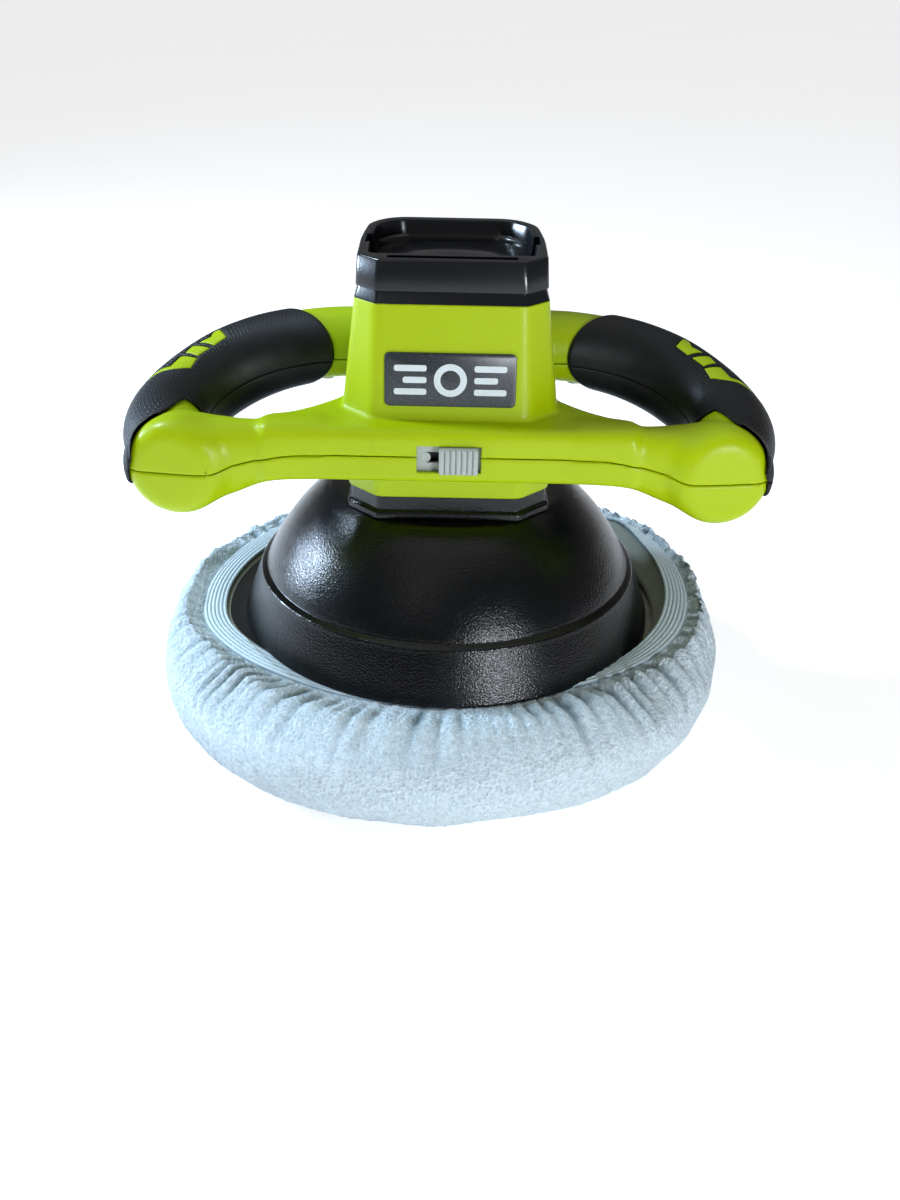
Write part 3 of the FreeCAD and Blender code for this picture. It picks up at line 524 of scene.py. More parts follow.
def grip_half(side, upper):
    """One half of a grip: trimmed at the tower end, at the bulb and round the windows, edges rolled in."""
    sign = 1.0 if side == "right" else -1.0
    inner = lambda run: grip_seam(run, 1.0) - SEAM_ANGLE
    outer = lambda run: grip_seam(run, -1.0) + SEAM_ANGLE
    if upper:
        points, triangles = grip_sheet(SHEET_START, SHEET_STOP, *UPPER_MESH, outer, inner, GRIP_SKIN)
        points, triangles = trimmed(points, triangles, windows_edge(points))
    else:
        low = lambda run: grip_seam(run, 1.0) + SEAM_ANGLE
        high = lambda run: grip_seam(run, -1.0) - SEAM_ANGLE + 2 * np.pi
        points, triangles = grip_sheet(SHEET_START, SHEET_STOP, *LOWER_MESH, low, high, GRIP_SKIN)
    points, triangles = trimmed(points, triangles, root_edge(points))
    points, triangles = trimmed(points, triangles, bulb_edge(points))
    edge = np.minimum(root_edge(points) * 0.7, bulb_edge(points))
    if upper:
        edge = np.minimum(edge, windows_edge(points))
    drop = 0.5 * np.clip(1.0 - edge / ROLL, 0.0, 1.0) ** 2
    place = points[:, :3] - points[:, 3:6] * drop[:, None]
    # Dimples cover the top and outside; the palm side of the loop is smooth beyond this angle.
    limit = np.interp(points[:, 6], [55, 73, 83, 94, 102, 112], [34, 35, 38, 42, 50, 60])
    dimpled = np.clip((limit - points[:, 7]) / 5.0, 0, 1) * np.clip((points[:, 6] - 48.0) / 14.0, 0.15, 1)
    if not upper:
        dimpled = np.clip((points[:, 7] - 200.0) / 12.0, 0, 1)
    around = np.radians(points[:, 7]) * 17.7
    uv = np.c_[points[:, 6], around] * 0.01
    place[:, 0] *= sign
    name = side + "_grip_" + ("upper" if upper else "lower")
    faces = triangles if sign > 0 else triangles[:, ::-1]
    piece = put_piece(name + "_skin", place, faces, uv, {"dimpled": dimpled})
    with_wall(piece, 1.15)
    piece.data.materials.append(RUBBER)
    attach(piece, "housing")
    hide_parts(name)
    return piece


# Black TPE, moulded: nearly matt, with rows of short dimples 3.4 mm long and 1.7 mm apart.
RUBBER = blank_material("black_tpe_overmould")
run_around = add(RUBBER, "UVMap", uv_map="along_around").outputs["UV"]
sized = add(RUBBER, "Mapping", {"Vector": run_around, "Rotation": (0.0, 0.0, math.radians(90)),
                                "Scale": (100.0, 100.0, 100.0)})
rows = add(RUBBER, "TexBrick", {"Vector": sized.outputs[0], "Scale": 1.0, "Mortar Size": 0.42,
                                "Mortar Smooth": 0.8, "Brick Width": 3.4, "Row Height": 1.7})
mask = add(RUBBER, "Attribute", attribute_name="dimpled").outputs["Fac"]
dents = add(RUBBER, "Math", {0: rows.outputs["Fac"], 1: mask}, operation="MULTIPLY")
place = add(RUBBER, "TexCoord").outputs["Object"]
fine = add(RUBBER, "TexNoise", {"Vector": place, "Scale": 900.0, "Detail": 3.0})
relief = add(RUBBER, "Math", {0: fine.outputs["Fac"], 1: 0.35, 2: dents.outputs[0]}, operation="MULTIPLY_ADD")
bump = add(RUBBER, "Bump", {"Height": relief.outputs[0], "Strength": 0.9, "Distance": 0.00022})
scuff = add(RUBBER, "TexNoise", {"Vector": place, "Scale": 60.0, "Detail": 4.0})
tint = colour_mix(RUBBER, scuff.outputs["Fac"], "#060809", "#101316")
wear_and_lining_shade = add(RUBBER, "MapRange", {0: scuff.outputs["Fac"], 1: 0.3, 2: 0.7, 3: 0.44, 4: 0.58})
finish_material(RUBBER, Base_Color=tint.outputs[2], Roughness=wear_and_lining_shade.outputs[0], IOR=1.5,
                Specular_IOR_Level=0.3, Normal=bump.outputs[0])

for side in ("right", "left"):
    grip_half(side, True)
    grip_half(side, False)
    sign = 1.0 if side == "right" else -1.0
    points, triangles = grip_sheet(56.0, 118.0, 230, 130, lambda run: np.full(run.shape, math.radians(-84)),
                                   lambda run: np.full(run.shape, math.radians(26)), GRIP_SKIN - 0.25)
    inside = -windows_edge(points) - 0.14
    points, triangles = trimmed(points, triangles, inside)
    inside = -windows_edge(points) - 0.14
    drop = 0.35 * np.clip(1.0 - inside / 0.6, 0.0, 1.0) ** 2
    place = points[:, :3] - points[:, 3:6] * drop[:, None]
    place[:, 0] *= sign
    inlay = put_piece(side + "_grip_inlays", place, triangles if sign > 0 else triangles[:, ::-1])
    with_wall(inlay, 1.0)
    inlay.data.materials.append(LIME)
    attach(inlay, "housing")


# ------------------------------------------------------------------------------------------------
# Battery port: a black ABS collar on top of the tower, moulded nearly glossy. Its front panel stands a
# little proud over a chamfered foot, and inside it a shelf dips to the hole that takes the battery stem.


def rounded_ring(corners, radii, steps=7):
    """Closed outline with each corner rounded: between its two tangent points the edge follows a parabola
    whose control point is the corner."""
    corners = np.array(corners, float)
    radii = np.broadcast_to(radii, len(corners)).astype(float)[:, None]
    back = np.roll(corners, 1, axis=0) - corners
    ahead = np.roll(corners, -1, axis=0) - corners
    half_side = 0.49 * np.minimum(np.linalg.norm(back, axis=1), np.linalg.norm(ahead, axis=1))[:, None]
    reach = np.minimum(radii, half_side)
    enter = corners + back / np.linalg.norm(back, axis=1)[:, None] * reach
    leave = corners + ahead / np.linalg.norm(ahead, axis=1)[:, None] * reach
    t = np.linspace(0.0, 1.0, steps)[None, :, None]
    arc = (1 - t) ** 2 * enter[:, None] + 2 * t * (1 - t) * corners[:, None] + t**2 * leave[:, None]
    return arc.reshape(-1, 2)


def stacked(rings, closed=True):
    """Surface through rings of equal count, each (outline, height), joined in order and, if closed, the
    last to the first."""
    points = np.concatenate([np.c_[outline, np.full(len(outline), height)] for outline, height in rings])
    count = len(rings[0][0])
    if closed:
        points = np.vstack([points, points[:count]])
    faces = grid_quads(len(points) // count, count, closed=True)
    if closed:
        faces = np.where(faces >= len(points) - count, faces - (len(points) - count), faces)
        points = points[:-count]
    return points, faces


def settled(piece):
    """Bakes a piece's modifiers into its mesh and makes its faces point outwards."""
    bpy.context.view_layer.update()
    mesh = bpy.data.meshes.new_from_object(piece.evaluated_get(bpy.context.evaluated_depsgraph_get()))
    piece.modifiers.clear()
    piece.data = mesh
    work = bmesh.new()
    work.from_mesh(mesh)
    bmesh.ops.remove_doubles(work, verts=work.verts, dist=0.00001)
    bmesh.ops.recalc_face_normals(work, faces=work.faces)
    work.to_mesh(mesh)
    work.free()
    return piece


def box_piece(low, high):
    """A plain cutter block between two corners in millimetres. It is used up by a cut."""
    corner = np.array([[x, y, z] for x in (low[0], high[0])
                       for y in (low[1], high[1]) for z in (low[2], high[2])])
    faces = np.array([[0, 1, 3, 2], [4, 6, 7, 5], [0, 4, 5, 1], [2, 3, 7, 6], [0, 2, 6, 4], [1, 5, 7, 3]])
    return put_piece("cutter", corner, faces)


def cut_away(piece, cutters):
    """Takes cutter blocks out of a closed piece."""
    for cutter in cutters:
        change = piece.modifiers.new("cut", "BOOLEAN")
        change.operation = "DIFFERENCE"
        change.solver = "EXACT"
        change.object = cutter
    settled(piece)
    for cutter in cutters:
        bpy.data.objects.remove(cutter)
    return piece


def soft_edges(piece, width, angle=35.0):
    """Rounds the sharp edges of a piece by width millimetres and shades the rest of it smooth."""
    change = piece.modifiers.new("edges", "BEVEL")
    change.width = width * MM
    change.segments = 2
    change.limit_method = "ANGLE"
    change.angle_limit = math.radians(angle)
    change.harden_normals = False
    piece.data.shade_smooth()
    piece.data.set_sharp_from_angle(angle=math.radians(40))
    return piece


def port_outline(half, front, corner, back_corner, rear):
    """Collar outline: a straight front with cut corners, sides that close in to a rounder back."""
    return [(-corner, -front), (corner, -front), (half, -front + half - corner), (half + 0.4, 0.0),
            (half - 1.5, rear - 11.0), (back_corner, rear), (-back_corner, rear), (-half + 1.5, rear - 11.0),
            (-half - 0.4, 0.0), (-half, -front + half - corner)]


FRONT_ROUND = [1.6, 1.6, 1.6, 9, 10, 12, 12, 10, 9, 1.6]
MOUTH = [(-31.5, -27.3), (31.5, -27.3), (33.4, -24.5), (33.6, 0.0), (32.4, 22.0), (24.0, 33.2), (-24.0, 33.2),
         (-32.4, 22.0), (-33.6, 0.0), (-33.4, -24.5)]
HOLE = [(-12.0, -17.6), (12.0, -17.6), (22.0, -11.0), (22.8, 1.0), (20.0, 14.0), (8.0, 21.4), (-8.0, 21.4),
        (-20.0, 14.0), (-22.8, 1.0), (-22.0, -11.0)]
SHELF = [(-20.0, -23.0), (20.0, -23.0), (27.0, -15.0), (28.0, 1.0), (25.0, 18.0), (12.0, 27.5), (-12.0, 27.5),
         (-25.0, 18.0), (-28.0, 1.0), (-27.0, -15.0)]


def ring_between(a, b, share, radii=9.0):
    return rounded_ring(np.array(a) * (1 - share) + np.array(b) * share, radii)


collar_rings = [
    (rounded_ring(port_outline(38.9, 38.9, 29.9, 29.5, 38.8), [1, 1, 1, 4, 8, 5, 5, 8, 4, 1]), 195.05),
    (rounded_ring(port_outline(38.5, 38.6, 29.6, 29.0, 38.5), [1, 1, 1, 5, 8, 6, 6, 8, 5, 1]), 195.7),
    (rounded_ring(port_outline(37.5, 37.1, 29.2, 28.4, 37.9), FRONT_ROUND), 199.3),
    (rounded_ring(port_outline(38.3, 38.9, 29.7, 28.2, 38.0), FRONT_ROUND), 200.1),
    (rounded_ring(port_outline(38.3, 38.9, 29.7, 28.2, 38.0), FRONT_ROUND), 200.6),
    (rounded_ring(port_outline(37.6, 38.3, 28.6, 26.5, 37.6), FRONT_ROUND), 211.3),
    (rounded_ring(port_outline(37.2, 37.9, 28.3, 26.2, 37.2), FRONT_ROUND), 211.9),
    (rounded_ring(port_outline(36.9, 37.5, 28.1, 26.0, 36.9), FRONT_ROUND), 212.0),
    (ring_between(MOUTH, SHELF, -0.08, 4.0), 212.0),
    (ring_between(MOUTH, SHELF, -0.02, 4.0), 211.7),
    (ring_between(MOUTH, SHELF, 0.02, 4.0), 210.6),
    (ring_between(MOUTH, SHELF, 0.08, 4.0), 205.8),
    (ring_between(MOUTH, SHELF, 0.16, 4.5), 205.1),
    (ring_between(MOUTH, SHELF, 0.20, 5.0), 204.6),
    (ring_between(MOUTH, SHELF, 0.24, 5.0), 202.9),
    (ring_between(MOUTH, SHELF, 0.60, 7.0), 202.2),
    (ring_between(MOUTH, SHELF, 1.0), 201.9),
    (ring_between(SHELF, HOLE, 0.35), 201.5),
    (ring_between(SHELF, HOLE, 0.75), 200.7),
    (ring_between(SHELF, HOLE, 1.0), 199.5),
    (ring_between(SHELF, HOLE, 0.97), 199.1),
    (rounded_ring(port_outline(25.0, 20.5, 24.2, 24.2, 24.0), 0.6), 199.1),
    (rounded_ring(port_outline(25.0, 20.5, 24.2, 24.2, 24.0), 0.6), 195.05),
]
points, faces = stacked(collar_rings)
collar = settled(put_piece("port_collar_moulding", points, faces))
cut_away(collar, [
    box_piece((-25.5, -34.4, 204.5), (25.5, -30.4, 214.0)),
    box_piece((-35.6, -9.0, 202.0), (-32.0, 5.0, 214.0)),
    box_piece((32.0, -9.0, 202.0), (35.6, 5.0, 214.0)),
])
soft_edges(collar, 0.35)
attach(collar, "housing")
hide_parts("battery_port_collar")

# Black ABS, moulded in a polished tool: a dark blue-black sheen, with a faint orange peel.
PORT_BLACK = blank_material("black_abs_satin")
place = add(PORT_BLACK, "TexCoord").outputs["Object"]
peel = add(PORT_BLACK, "TexNoise", {"Vector": place, "Scale": 750.0, "Detail": 2.0})
facing = add(PORT_BLACK, "NewGeometry").outputs["Normal"]
front = add(PORT_BLACK, "VectorMath", {0: facing, 1: (0.0, -1.0, 0.0)},
            operation="DOT_PRODUCT").outputs["Value"]
panel = add(PORT_BLACK, "MapRange", {0: front, 1: 0.3, 2: 0.7, 3: 0.12, 4: 1.0})
peel_in = add(PORT_BLACK, "Math", {0: peel.outputs["Fac"], 1: panel.outputs[0]}, operation="MULTIPLY")
bump = add(PORT_BLACK, "Bump", {"Height": peel_in.outputs[0], "Strength": 0.6, "Distance": 0.00006})
finish_material(PORT_BLACK, Base_Color=colour("#0a0d12"), Roughness=0.24, IOR=1.52, Normal=bump.outputs[0])
collar.data.materials.append(PORT_BLACK)

# The well below it, its terminal block and three contact blades are the CAD shapes.
BRASS = blank_material("tinned_brass_blade")
place = add(BRASS, "TexCoord").outputs["Object"]
drawn = add(BRASS, "TexNoise", {"Vector": place, "Scale": 500.0, "Detail": 3.0})
rough = add(BRASS, "MapRange", {0: drawn.outputs["Fac"], 3: 0.22, 4: 0.4})
finish_material(BRASS, Base_Color=colour("#c9b98a"), Metallic=1.0, Roughness=rough.outputs[0])


def paint(material, *names):
    """Puts one material on CAD nodes, in place of what they came with."""
    for name in names:
        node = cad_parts[name]
        node.data.materials.clear()
        node.data.materials.append(material)


paint(PORT_BLACK, "battery_well", "terminal_block")
paint(BRASS, "contact_blades")


# ------------------------------------------------------------------------------------------------
# Name plate: a graphite label plate bonded to the leaning front of the tower, printed in light grey with
# a plain sign of a turning pad: a ring between two sets of bars.

PLATE_LENGTH, PLATE_WIDTH, PLATE_PROUD = 52.5, 21.5, 1.0
PLATE_MIDDLE = 165.8
lean = math.atan2(44.4 - 39.0, TOWER_TOP - 149.5)
face_out = np.array([0.0, -math.cos(lean), math.sin(lean)])
face_up = np.array([0.0, math.sin(lean), math.cos(lean)])
face_middle = np.array([0.0, -39.0 - (TOWER_TOP - PLATE_MIDDLE) * math.tan(lean), PLATE_MIDDLE])


def on_face(points):
    """Places points (right, up, out) on the tower's leaning face."""
    return (face_middle + points[:, :1] * np.array([1.0, 0.0, 0.0]) + points[:, 1:2] * face_up
            + points[:, 2:3] * face_out)


def block_corners(half_length, half_width):
    return [(-half_length, -half_width), (half_length, -half_width), (half_length, half_width),
            (-half_length, half_width)]


def capped(rings):
    """Solid through rings, its first and last ring each closed by a flat face."""
    points, faces = stacked(rings, closed=False)
    count = len(rings[0][0])
    mesh_faces = [list(face) for face in faces.tolist()]
    mesh_faces.append(list(range(count))[::-1])
    mesh_faces.append(list(range(len(points) - count, len(points))))
    return points, mesh_faces


def put_capped(name, rings, turn=None):
    points, faces = capped(rings)
    points = points if turn is None else turn(points)
    mesh = bpy.data.meshes.new(name)
    mesh.from_pydata((points * MM).tolist(), [], faces)
    piece = bpy.data.objects.new(name, mesh)
    bpy.context.scene.collection.objects.link(piece)
    settled(piece)
    piece.data.shade_smooth()
    piece.data.set_sharp_from_angle(angle=math.radians(38))
    return piece


plate_rings = [
    (rounded_ring(block_corners(PLATE_LENGTH / 2, PLATE_WIDTH / 2), 2.4), -0.3),
    (rounded_ring(block_corners(PLATE_LENGTH / 2, PLATE_WIDTH / 2), 2.4), PLATE_PROUD - 0.35),
    (rounded_ring(block_corners(PLATE_LENGTH / 2 - 0.1, PLATE_WIDTH / 2 - 0.1), 2.3), PLATE_PROUD - 0.12),
    (rounded_ring(block_corners(PLATE_LENGTH / 2 - 0.35, PLATE_WIDTH / 2 - 0.35), 2.1), PLATE_PROUD),
]
name_plate = put_capped("label_plate", plate_rings, on_face)
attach(name_plate, "housing")
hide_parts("name_plate")

# Graphite polycarbonate film over a plate: dark, with a fine mica speckle.
GRAPHITE = blank_material("graphite_label_film")
place = add(GRAPHITE, "TexCoord").outputs["Object"]
mica = add(GRAPHITE, "TexNoise", {"Vector": place, "Scale": 1500.0, "Detail": 1.0})
fleck = add(GRAPHITE, "MapRange", {0: mica.outputs["Fac"], 1: 0.52, 2: 0.68})
tint = colour_mix(GRAPHITE, fleck.outputs[0], "#1b2126", "#333b42")
bump = add(GRAPHITE, "Bump", {"Height": mica.outputs["Fac"], "Strength": 0.3, "Distance": 0.00003})
finish_material(GRAPHITE, Base_Color=tint.outputs[2], Roughness=0.34, IOR=1.58, Normal=bump.outputs[0])
name_plate.data.materials.append(GRAPHITE)

PRINT_DEEP = 0.14
BAR_LENGTHS = (13.0, 9.5, 13.0)
marks, mark_faces = [], []
angle = np.linspace(0.0, 2 * np.pi, 64, endpoint=False)
ring_outline = [np.c_[np.cos(angle), np.sin(angle)] * radius for radius in (6.6, 6.6, 4.0, 4.0)]
heights = (PLATE_PROUD - 0.02, PLATE_PROUD + PRINT_DEEP, PLATE_PROUD + PRINT_DEEP, PLATE_PROUD - 0.02)
ring_points, ring_faces = stacked(list(zip(ring_outline, heights)))
marks.append(ring_points)
mark_faces += ring_faces.tolist()
for sign in (-1.0, 1.0):
    for row, length in enumerate(BAR_LENGTHS):
        middle = (sign * (9.5 + length / 2), (row - 1) * 4.7)
        outline = rounded_ring(block_corners(length / 2, 1.25), 1.0, 4) + middle
        bar_points, bar_faces = capped([(outline, heights[0]), (outline, heights[1])])
        start = sum(len(m) for m in marks)
        marks.append(bar_points)
        mark_faces += [[k + start for k in face] for face in bar_faces]
mesh = bpy.data.meshes.new("label_print")
mesh.from_pydata((on_face(np.vstack(marks)) * MM).tolist(), [], mark_faces)
label_print = bpy.data.objects.new("label_print", mesh)
bpy.context.scene.collection.objects.link(label_print)
settled(label_print)
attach(label_print, "housing")

# Screen-printed light grey ink: matt, slightly uneven.
INK = blank_material("pale_grey_screen_ink")
place = add(INK, "TexCoord").outputs["Object"]
uneven = add(INK, "TexNoise", {"Vector": place, "Scale": 700.0, "Detail": 3.0})
tint = colour_mix(INK, uneven.outputs["Fac"], "#c4cfd0", "#d6e0e0")
finish_material(INK, Base_Color=tint.outputs[2], Roughness=0.5)
label_print.data.materials.append(INK)


# ------------------------------------------------------------------------------------------------
# Slide switch: a grey acetal button with ribs for the thumb, which slides in a slot of the bar over a
# pale track plate. The switch body behind it is the CAD shape.

BUTTON_LEFT, BUTTON_LENGTH, BUTTON_FRONT, BUTTON_BACK = -4.0, 15.7, -60.4, -54.6
RIB_COUNT = 7
ribs_along = np.linspace(0.0, 1.0, 113)
rib_wave = np.abs(np.sin(np.pi * RIB_COUNT * ribs_along)) ** 0.55
button_x = BUTTON_LEFT + BUTTON_LENGTH * ribs_along


def button_outline(inset):
    """Section of the button seen from above: the front is a row of round-topped ribs with narrow grooves."""
    front = np.c_[button_x, BUTTON_FRONT + inset + 1.0 * (1.0 - rib_wave)]
    front[:, 0] = np.clip(front[:, 0], BUTTON_LEFT + inset, BUTTON_LEFT + BUTTON_LENGTH - inset)
    back = np.c_[front[::-1, 0], np.full(len(front), BUTTON_BACK)]
    return np.vstack([front, back])


low, high = SLOT_LOW + 0.35, SLOT_HIGH - 0.35
button = put_capped("switch_thumb_button", [
    (button_outline(0.7), low), (button_outline(0.25), low + 0.2), (button_outline(0.0), low + 0.7),
    (button_outline(0.0), high - 0.7), (button_outline(0.25), high - 0.2), (button_outline(0.7), high)])
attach(button, "button")
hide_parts("switch_button")

# Acetal, moulded: mid grey, a waxy low gloss.
ACETAL = blank_material("grey_acetal")
place = add(ACETAL, "TexCoord").outputs["Object"]
wax = add(ACETAL, "TexNoise", {"Vector": place, "Scale": 800.0, "Detail": 2.0})
tint = colour_mix(ACETAL, wax.outputs["Fac"], "#9aa19c", "#b1b7b1")
bump = add(ACETAL, "Bump", {"Height": wax.outputs["Fac"], "Strength": 0.3, "Distance": 0.00003})
finish_material(ACETAL, Base_Color=tint.outputs[2], Roughness=0.42, Normal=bump.outputs[0])
button.data.materials.append(ACETAL)
paint(ACETAL, "switch_track")

# Small round detent mark in the track, beside the button.
angle = np.linspace(0.0, 2 * np.pi, 40, endpoint=False)
circle = np.c_[np.cos(angle), np.sin(angle)]
detent = put_capped("switch_detent", [(circle * 2.1, 0.0), (circle * 2.1, 0.3), (circle * 1.7, 0.45),
                                      (circle * 1.1, 0.25), (circle * 0.5, 0.2)],
                    lambda p: np.c_[p[:, 0] - 9.4, -54.0 - p[:, 2], p[:, 1] + 137.4])
detent.data.materials.append(ACETAL)
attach(detent, "housing")


# ------------------------------------------------------------------------------------------------
# Neck and shroud: black ABS. The neck is an eight-sided collar under the housing, and the shroud is a
# dome with a stepped ledge, moulded with an even spark texture that scatters its highlights.


def eight_sided(half, corner):
    return [(-corner, -half), (corner, -half), (half, -corner), (half, corner), (corner, half),
            (-corner, half), (-half, corner), (-half, -corner)]


neck_rings = [
    (rounded_ring(eight_sided(42.9, 30.2), 1.5), 104.45),
    (rounded_ring(eight_sided(43.0, 30.3), 1.5), 106.9),
    (rounded_ring(eight_sided(42.6, 30.0), 1.5), 107.5),
    (rounded_ring(eight_sided(41.6, 29.2), 1.5), 108.1),
    (rounded_ring(eight_sided(41.6, 29.2), 1.5), 114.3),
    (rounded_ring(eight_sided(39.6, 26.6), 1.5), 114.4),
    (rounded_ring(eight_sided(39.2, 26.2), 1.5), 119.3),
    (rounded_ring(eight_sided(37.1, 24.6), 1.5), 119.3),
    (rounded_ring(eight_sided(37.1, 24.6), 1.5), 104.45),
]
points, faces = stacked(neck_rings)
neck = settled(put_piece("neck_moulding", points, faces))
soft_edges(neck, 0.3, 50.0)
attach(neck, "housing")
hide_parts("neck_collar")


def turned_shape(profile, segments, middle=0.0):
    """Profile points (radius, height) carried round the upright axis at x = middle, closed on itself."""
    angle = np.linspace(0.0, 2 * np.pi, segments, endpoint=False)
    rings = [(np.c_[middle + r * np.cos(angle), r * np.sin(angle)], z) for r, z in profile]
    return stacked(rings)


SHELL_WALL = 3.0
dome = smooth_path([(52.5, 103.6), (56.5, 101.2), (62.5, 96.0), (69.5, 88.4), (75.4, 80.2), (79.8, 72.8),
                    (82.1, 68.0)], 7)
skirt = smooth_path([(85.6, 64.3), (88.2, 57.6), (91.0, 50.2), (93.2, 44.0)], 6)
outer_profile = np.vstack([
    [(30.0, 104.45), (48.5, 104.45), (50.8, 104.4)], dome,
    [(82.3, 67.2), (82.6, 66.7), (83.2, 66.5), (84.7, 65.85), (85.2, 65.5), (85.45, 64.9)], skirt,
    [(93.35, 43.45), (93.2, 43.1), (92.8, 43.0)]])
inner_profile = np.vstack([
    [(90.9, 43.0), (90.4, 43.2)], skirt[::-1] - (SHELL_WALL, 0.0), dome[::-1] - (SHELL_WALL, 1.2),
    [(48.0, 101.5), (30.0, 101.5)]])
points, faces = turned_shape(np.vstack([outer_profile, inner_profile]), 224)
shroud = settled(put_piece("shroud_moulding", points, faces))
shroud.data.shade_smooth()
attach(shroud, "housing")
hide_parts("shroud")

# Black ABS, spark-eroded texture: pits about 0.7 mm apart make each highlight a cloud of bright specks.
SHELL_BLACK = blank_material("black_abs_spark_texture")
place = add(SHELL_BLACK, "TexCoord").outputs["Object"]
pits = add(SHELL_BLACK, "TexNoise", {"Vector": place, "Scale": 1150.0, "Detail": 2.5, "Roughness": 0.65})
cells = add(SHELL_BLACK, "TexVoronoi", {"Vector": place, "Scale": 1250.0})
texture = add(SHELL_BLACK, "Math", {0: pits.outputs["Fac"], 1: cells.outputs["Distance"]}, operation="ADD")
bump = add(SHELL_BLACK, "Bump", {"Height": texture.outputs[0], "Strength": 0.9, "Distance": 0.0001})
smear = add(SHELL_BLACK, "TexNoise", {"Vector": place, "Scale": 30.0, "Detail": 4.0})
rough = add(SHELL_BLACK, "MapRange", {0: smear.outputs["Fac"], 1: 0.3, 2: 0.7, 3: 0.2, 4: 0.27})
finish_material(SHELL_BLACK, Base_Color=colour("#030507"), Roughness=rough.outputs[0], IOR=1.5,
                Specular_IOR_Level=0.36, Normal=bump.outputs[0])
neck.data.materials.append(SHELL_BLACK)
shroud.data.materials.append(SHELL_BLACK)


# ------------------------------------------------------------------------------------------------
# Backing plate and foam: a black glass-filled nylon plate (the CAD shape) turns on the pad bearing, and a
# soft polyurethane foam disc is glued under it. The bonnet is pulled over both.

PAD_MIDDLE = -4.5

NYLON = blank_material("black_glass_filled_nylon")
place = add(NYLON, "TexCoord").outputs["Object"]
fibre = add(NYLON, "TexNoise", {"Vector": place, "Scale": 600.0, "Detail": 5.0})
bump = add(NYLON, "Bump", {"Height": fibre.outputs["Fac"], "Strength": 0.5, "Distance": 0.00005})
rough = add(NYLON, "MapRange", {0: fibre.outputs["Fac"], 3: 0.4, 4: 0.6})
finish_material(NYLON, Base_Color=colour("#060708"), Roughness=rough.outputs[0], Normal=bump.outputs[0])
paint(NYLON, "backing_plate")

foam_profile = smooth_path([
    (15.5, 8.4), (60.0, 7.0), (100.0, 6.8), (112.0, 7.2), (119.5, 10.5), (123.2, 17.0), (124.2, 24.0),
    (122.6, 31.0), (117.5, 36.0), (110.0, 37.7), (60.0, 37.8), (15.5, 37.6)], 6)
foam_points, foam_faces = turned_shape(foam_profile, 160, PAD_MIDDLE)
turn = np.arctan2(foam_points[:, 1], foam_points[:, 0] - PAD_MIDDLE)
crush = 0.4 * np.sin(5 * turn + 1.1) + 0.3 * np.sin(9 * turn + 0.4)
reach = np.hypot(foam_points[:, 0] - PAD_MIDDLE, foam_points[:, 1])
swell = crush * np.clip((reach - 90.0) / 30.0, 0, 1)
foam_points[:, 0] -= np.cos(turn) * np.abs(swell)
foam_points[:, 1] -= np.sin(turn) * np.abs(swell)
foam = settled(put_piece("pad_foam", foam_points, foam_faces))
foam.data.shade_smooth()

# Open-cell polyurethane foam: cut, matt, with cells about 1 mm across, painted darker at the bottom of each
# cell.
FOAM = blank_material("white_polyurethane_foam")
place = add(FOAM, "TexCoord").outputs["Object"]
cells = add(FOAM, "TexVoronoi", {"Vector": place, "Scale": 900.0})
# Painted shade: darker where each cell dips.
tint = colour_mix(FOAM, cells.outputs["Distance"], "#8f9088", "#c9c9c0")
bump = add(FOAM, "Bump", {"Height": cells.outputs["Distance"], "Strength": 0.8, "Distance": 0.0003})
finish_material(FOAM, Base_Color=tint.outputs[2], Roughness=0.95, Normal=bump.outputs[0])
foam.data.materials.append(FOAM)
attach(foam, "pad")
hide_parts("foam_pad")


# ------------------------------------------------------------------------------------------------
# Bonnet: a disc of white terry towelling, about 344 mm across flat, drawn over the foam and gathered by a
# sewn-on elastic band. The band sits askew: under the shroud's rim at the front, high at the right.

# Round the pad, by degrees: radius of the opening, width of the band in plan, heights of its inner and
# outer edges, and how deep the gathers beside it are.
BAND = np.array([
    (-180, 98.3, 10.4, 43.3, 42.9, 0.5),
    (-165, 97.0, 10.6, 43.4, 43.2, 0.8),
    (-148, 90.6, 11.0, 43.0, 43.2, 1.6),
    (-130, 84.5, 10.6, 42.6, 42.9, 1.9),
    (-109, 81.6, 10.2, 42.5, 42.6, 1.7),
    (-90, 81.0, 10.2, 42.5, 42.6, 1.7),
    (-70, 81.6, 10.4, 42.5, 42.7, 1.9),
    (-51, 86.0, 10.6, 42.6, 43.4, 2.3),
    (-34, 96.0, 10.8, 43.6, 45.2, 2.0),
    (-20, 103.0, 10.8, 48.5, 47.6, 1.4),
    (-8, 105.6, 10.6, 52.0, 49.8, 0.8),
    (8, 106.8, 10.4, 53.8, 50.8, 0.5),
    (22, 108.6, 9.6, 54.6, 51.0, 0.6),
    (33, 110.6, 7.4, 56.2, 51.6, 1.2),
    (40, 110.4, 7.0, 54.6, 50.6, 1.6),
    (55, 107.0, 9.0, 51.0, 49.0, 1.4),
    (80, 102.0, 10.4, 47.4, 47.0, 1.2),
    (110, 100.0, 10.8, 45.6, 45.6, 1.0),
    (145, 99.4, 10.8, 44.2, 44.0, 0.8),
])
around_band = smooth_path(np.vstack([BAND, BAND[:2] + (360, 0, 0, 0, 0, 0)]), 12)


def band_at(turn, column):
    """One column of the band's table at angles in radians, smooth and closed round the pad."""
    degrees = (np.degrees(turn) + 180.0) % 360.0 - 180.0
    return np.interp(degrees, around_band[:, 0], around_band[:, column])


def seeded_waves(turn, counts, seed):
    """Sum of waves round the pad, each with a whole count and a seeded phase, scaled to about one."""
    phases = np.random.default_rng(seed).uniform(0.0, 2 * np.pi, len(counts))
    return sum(np.sin(n * turn + p) for n, p in zip(counts, phases)) / math.sqrt(len(counts) / 2.0)


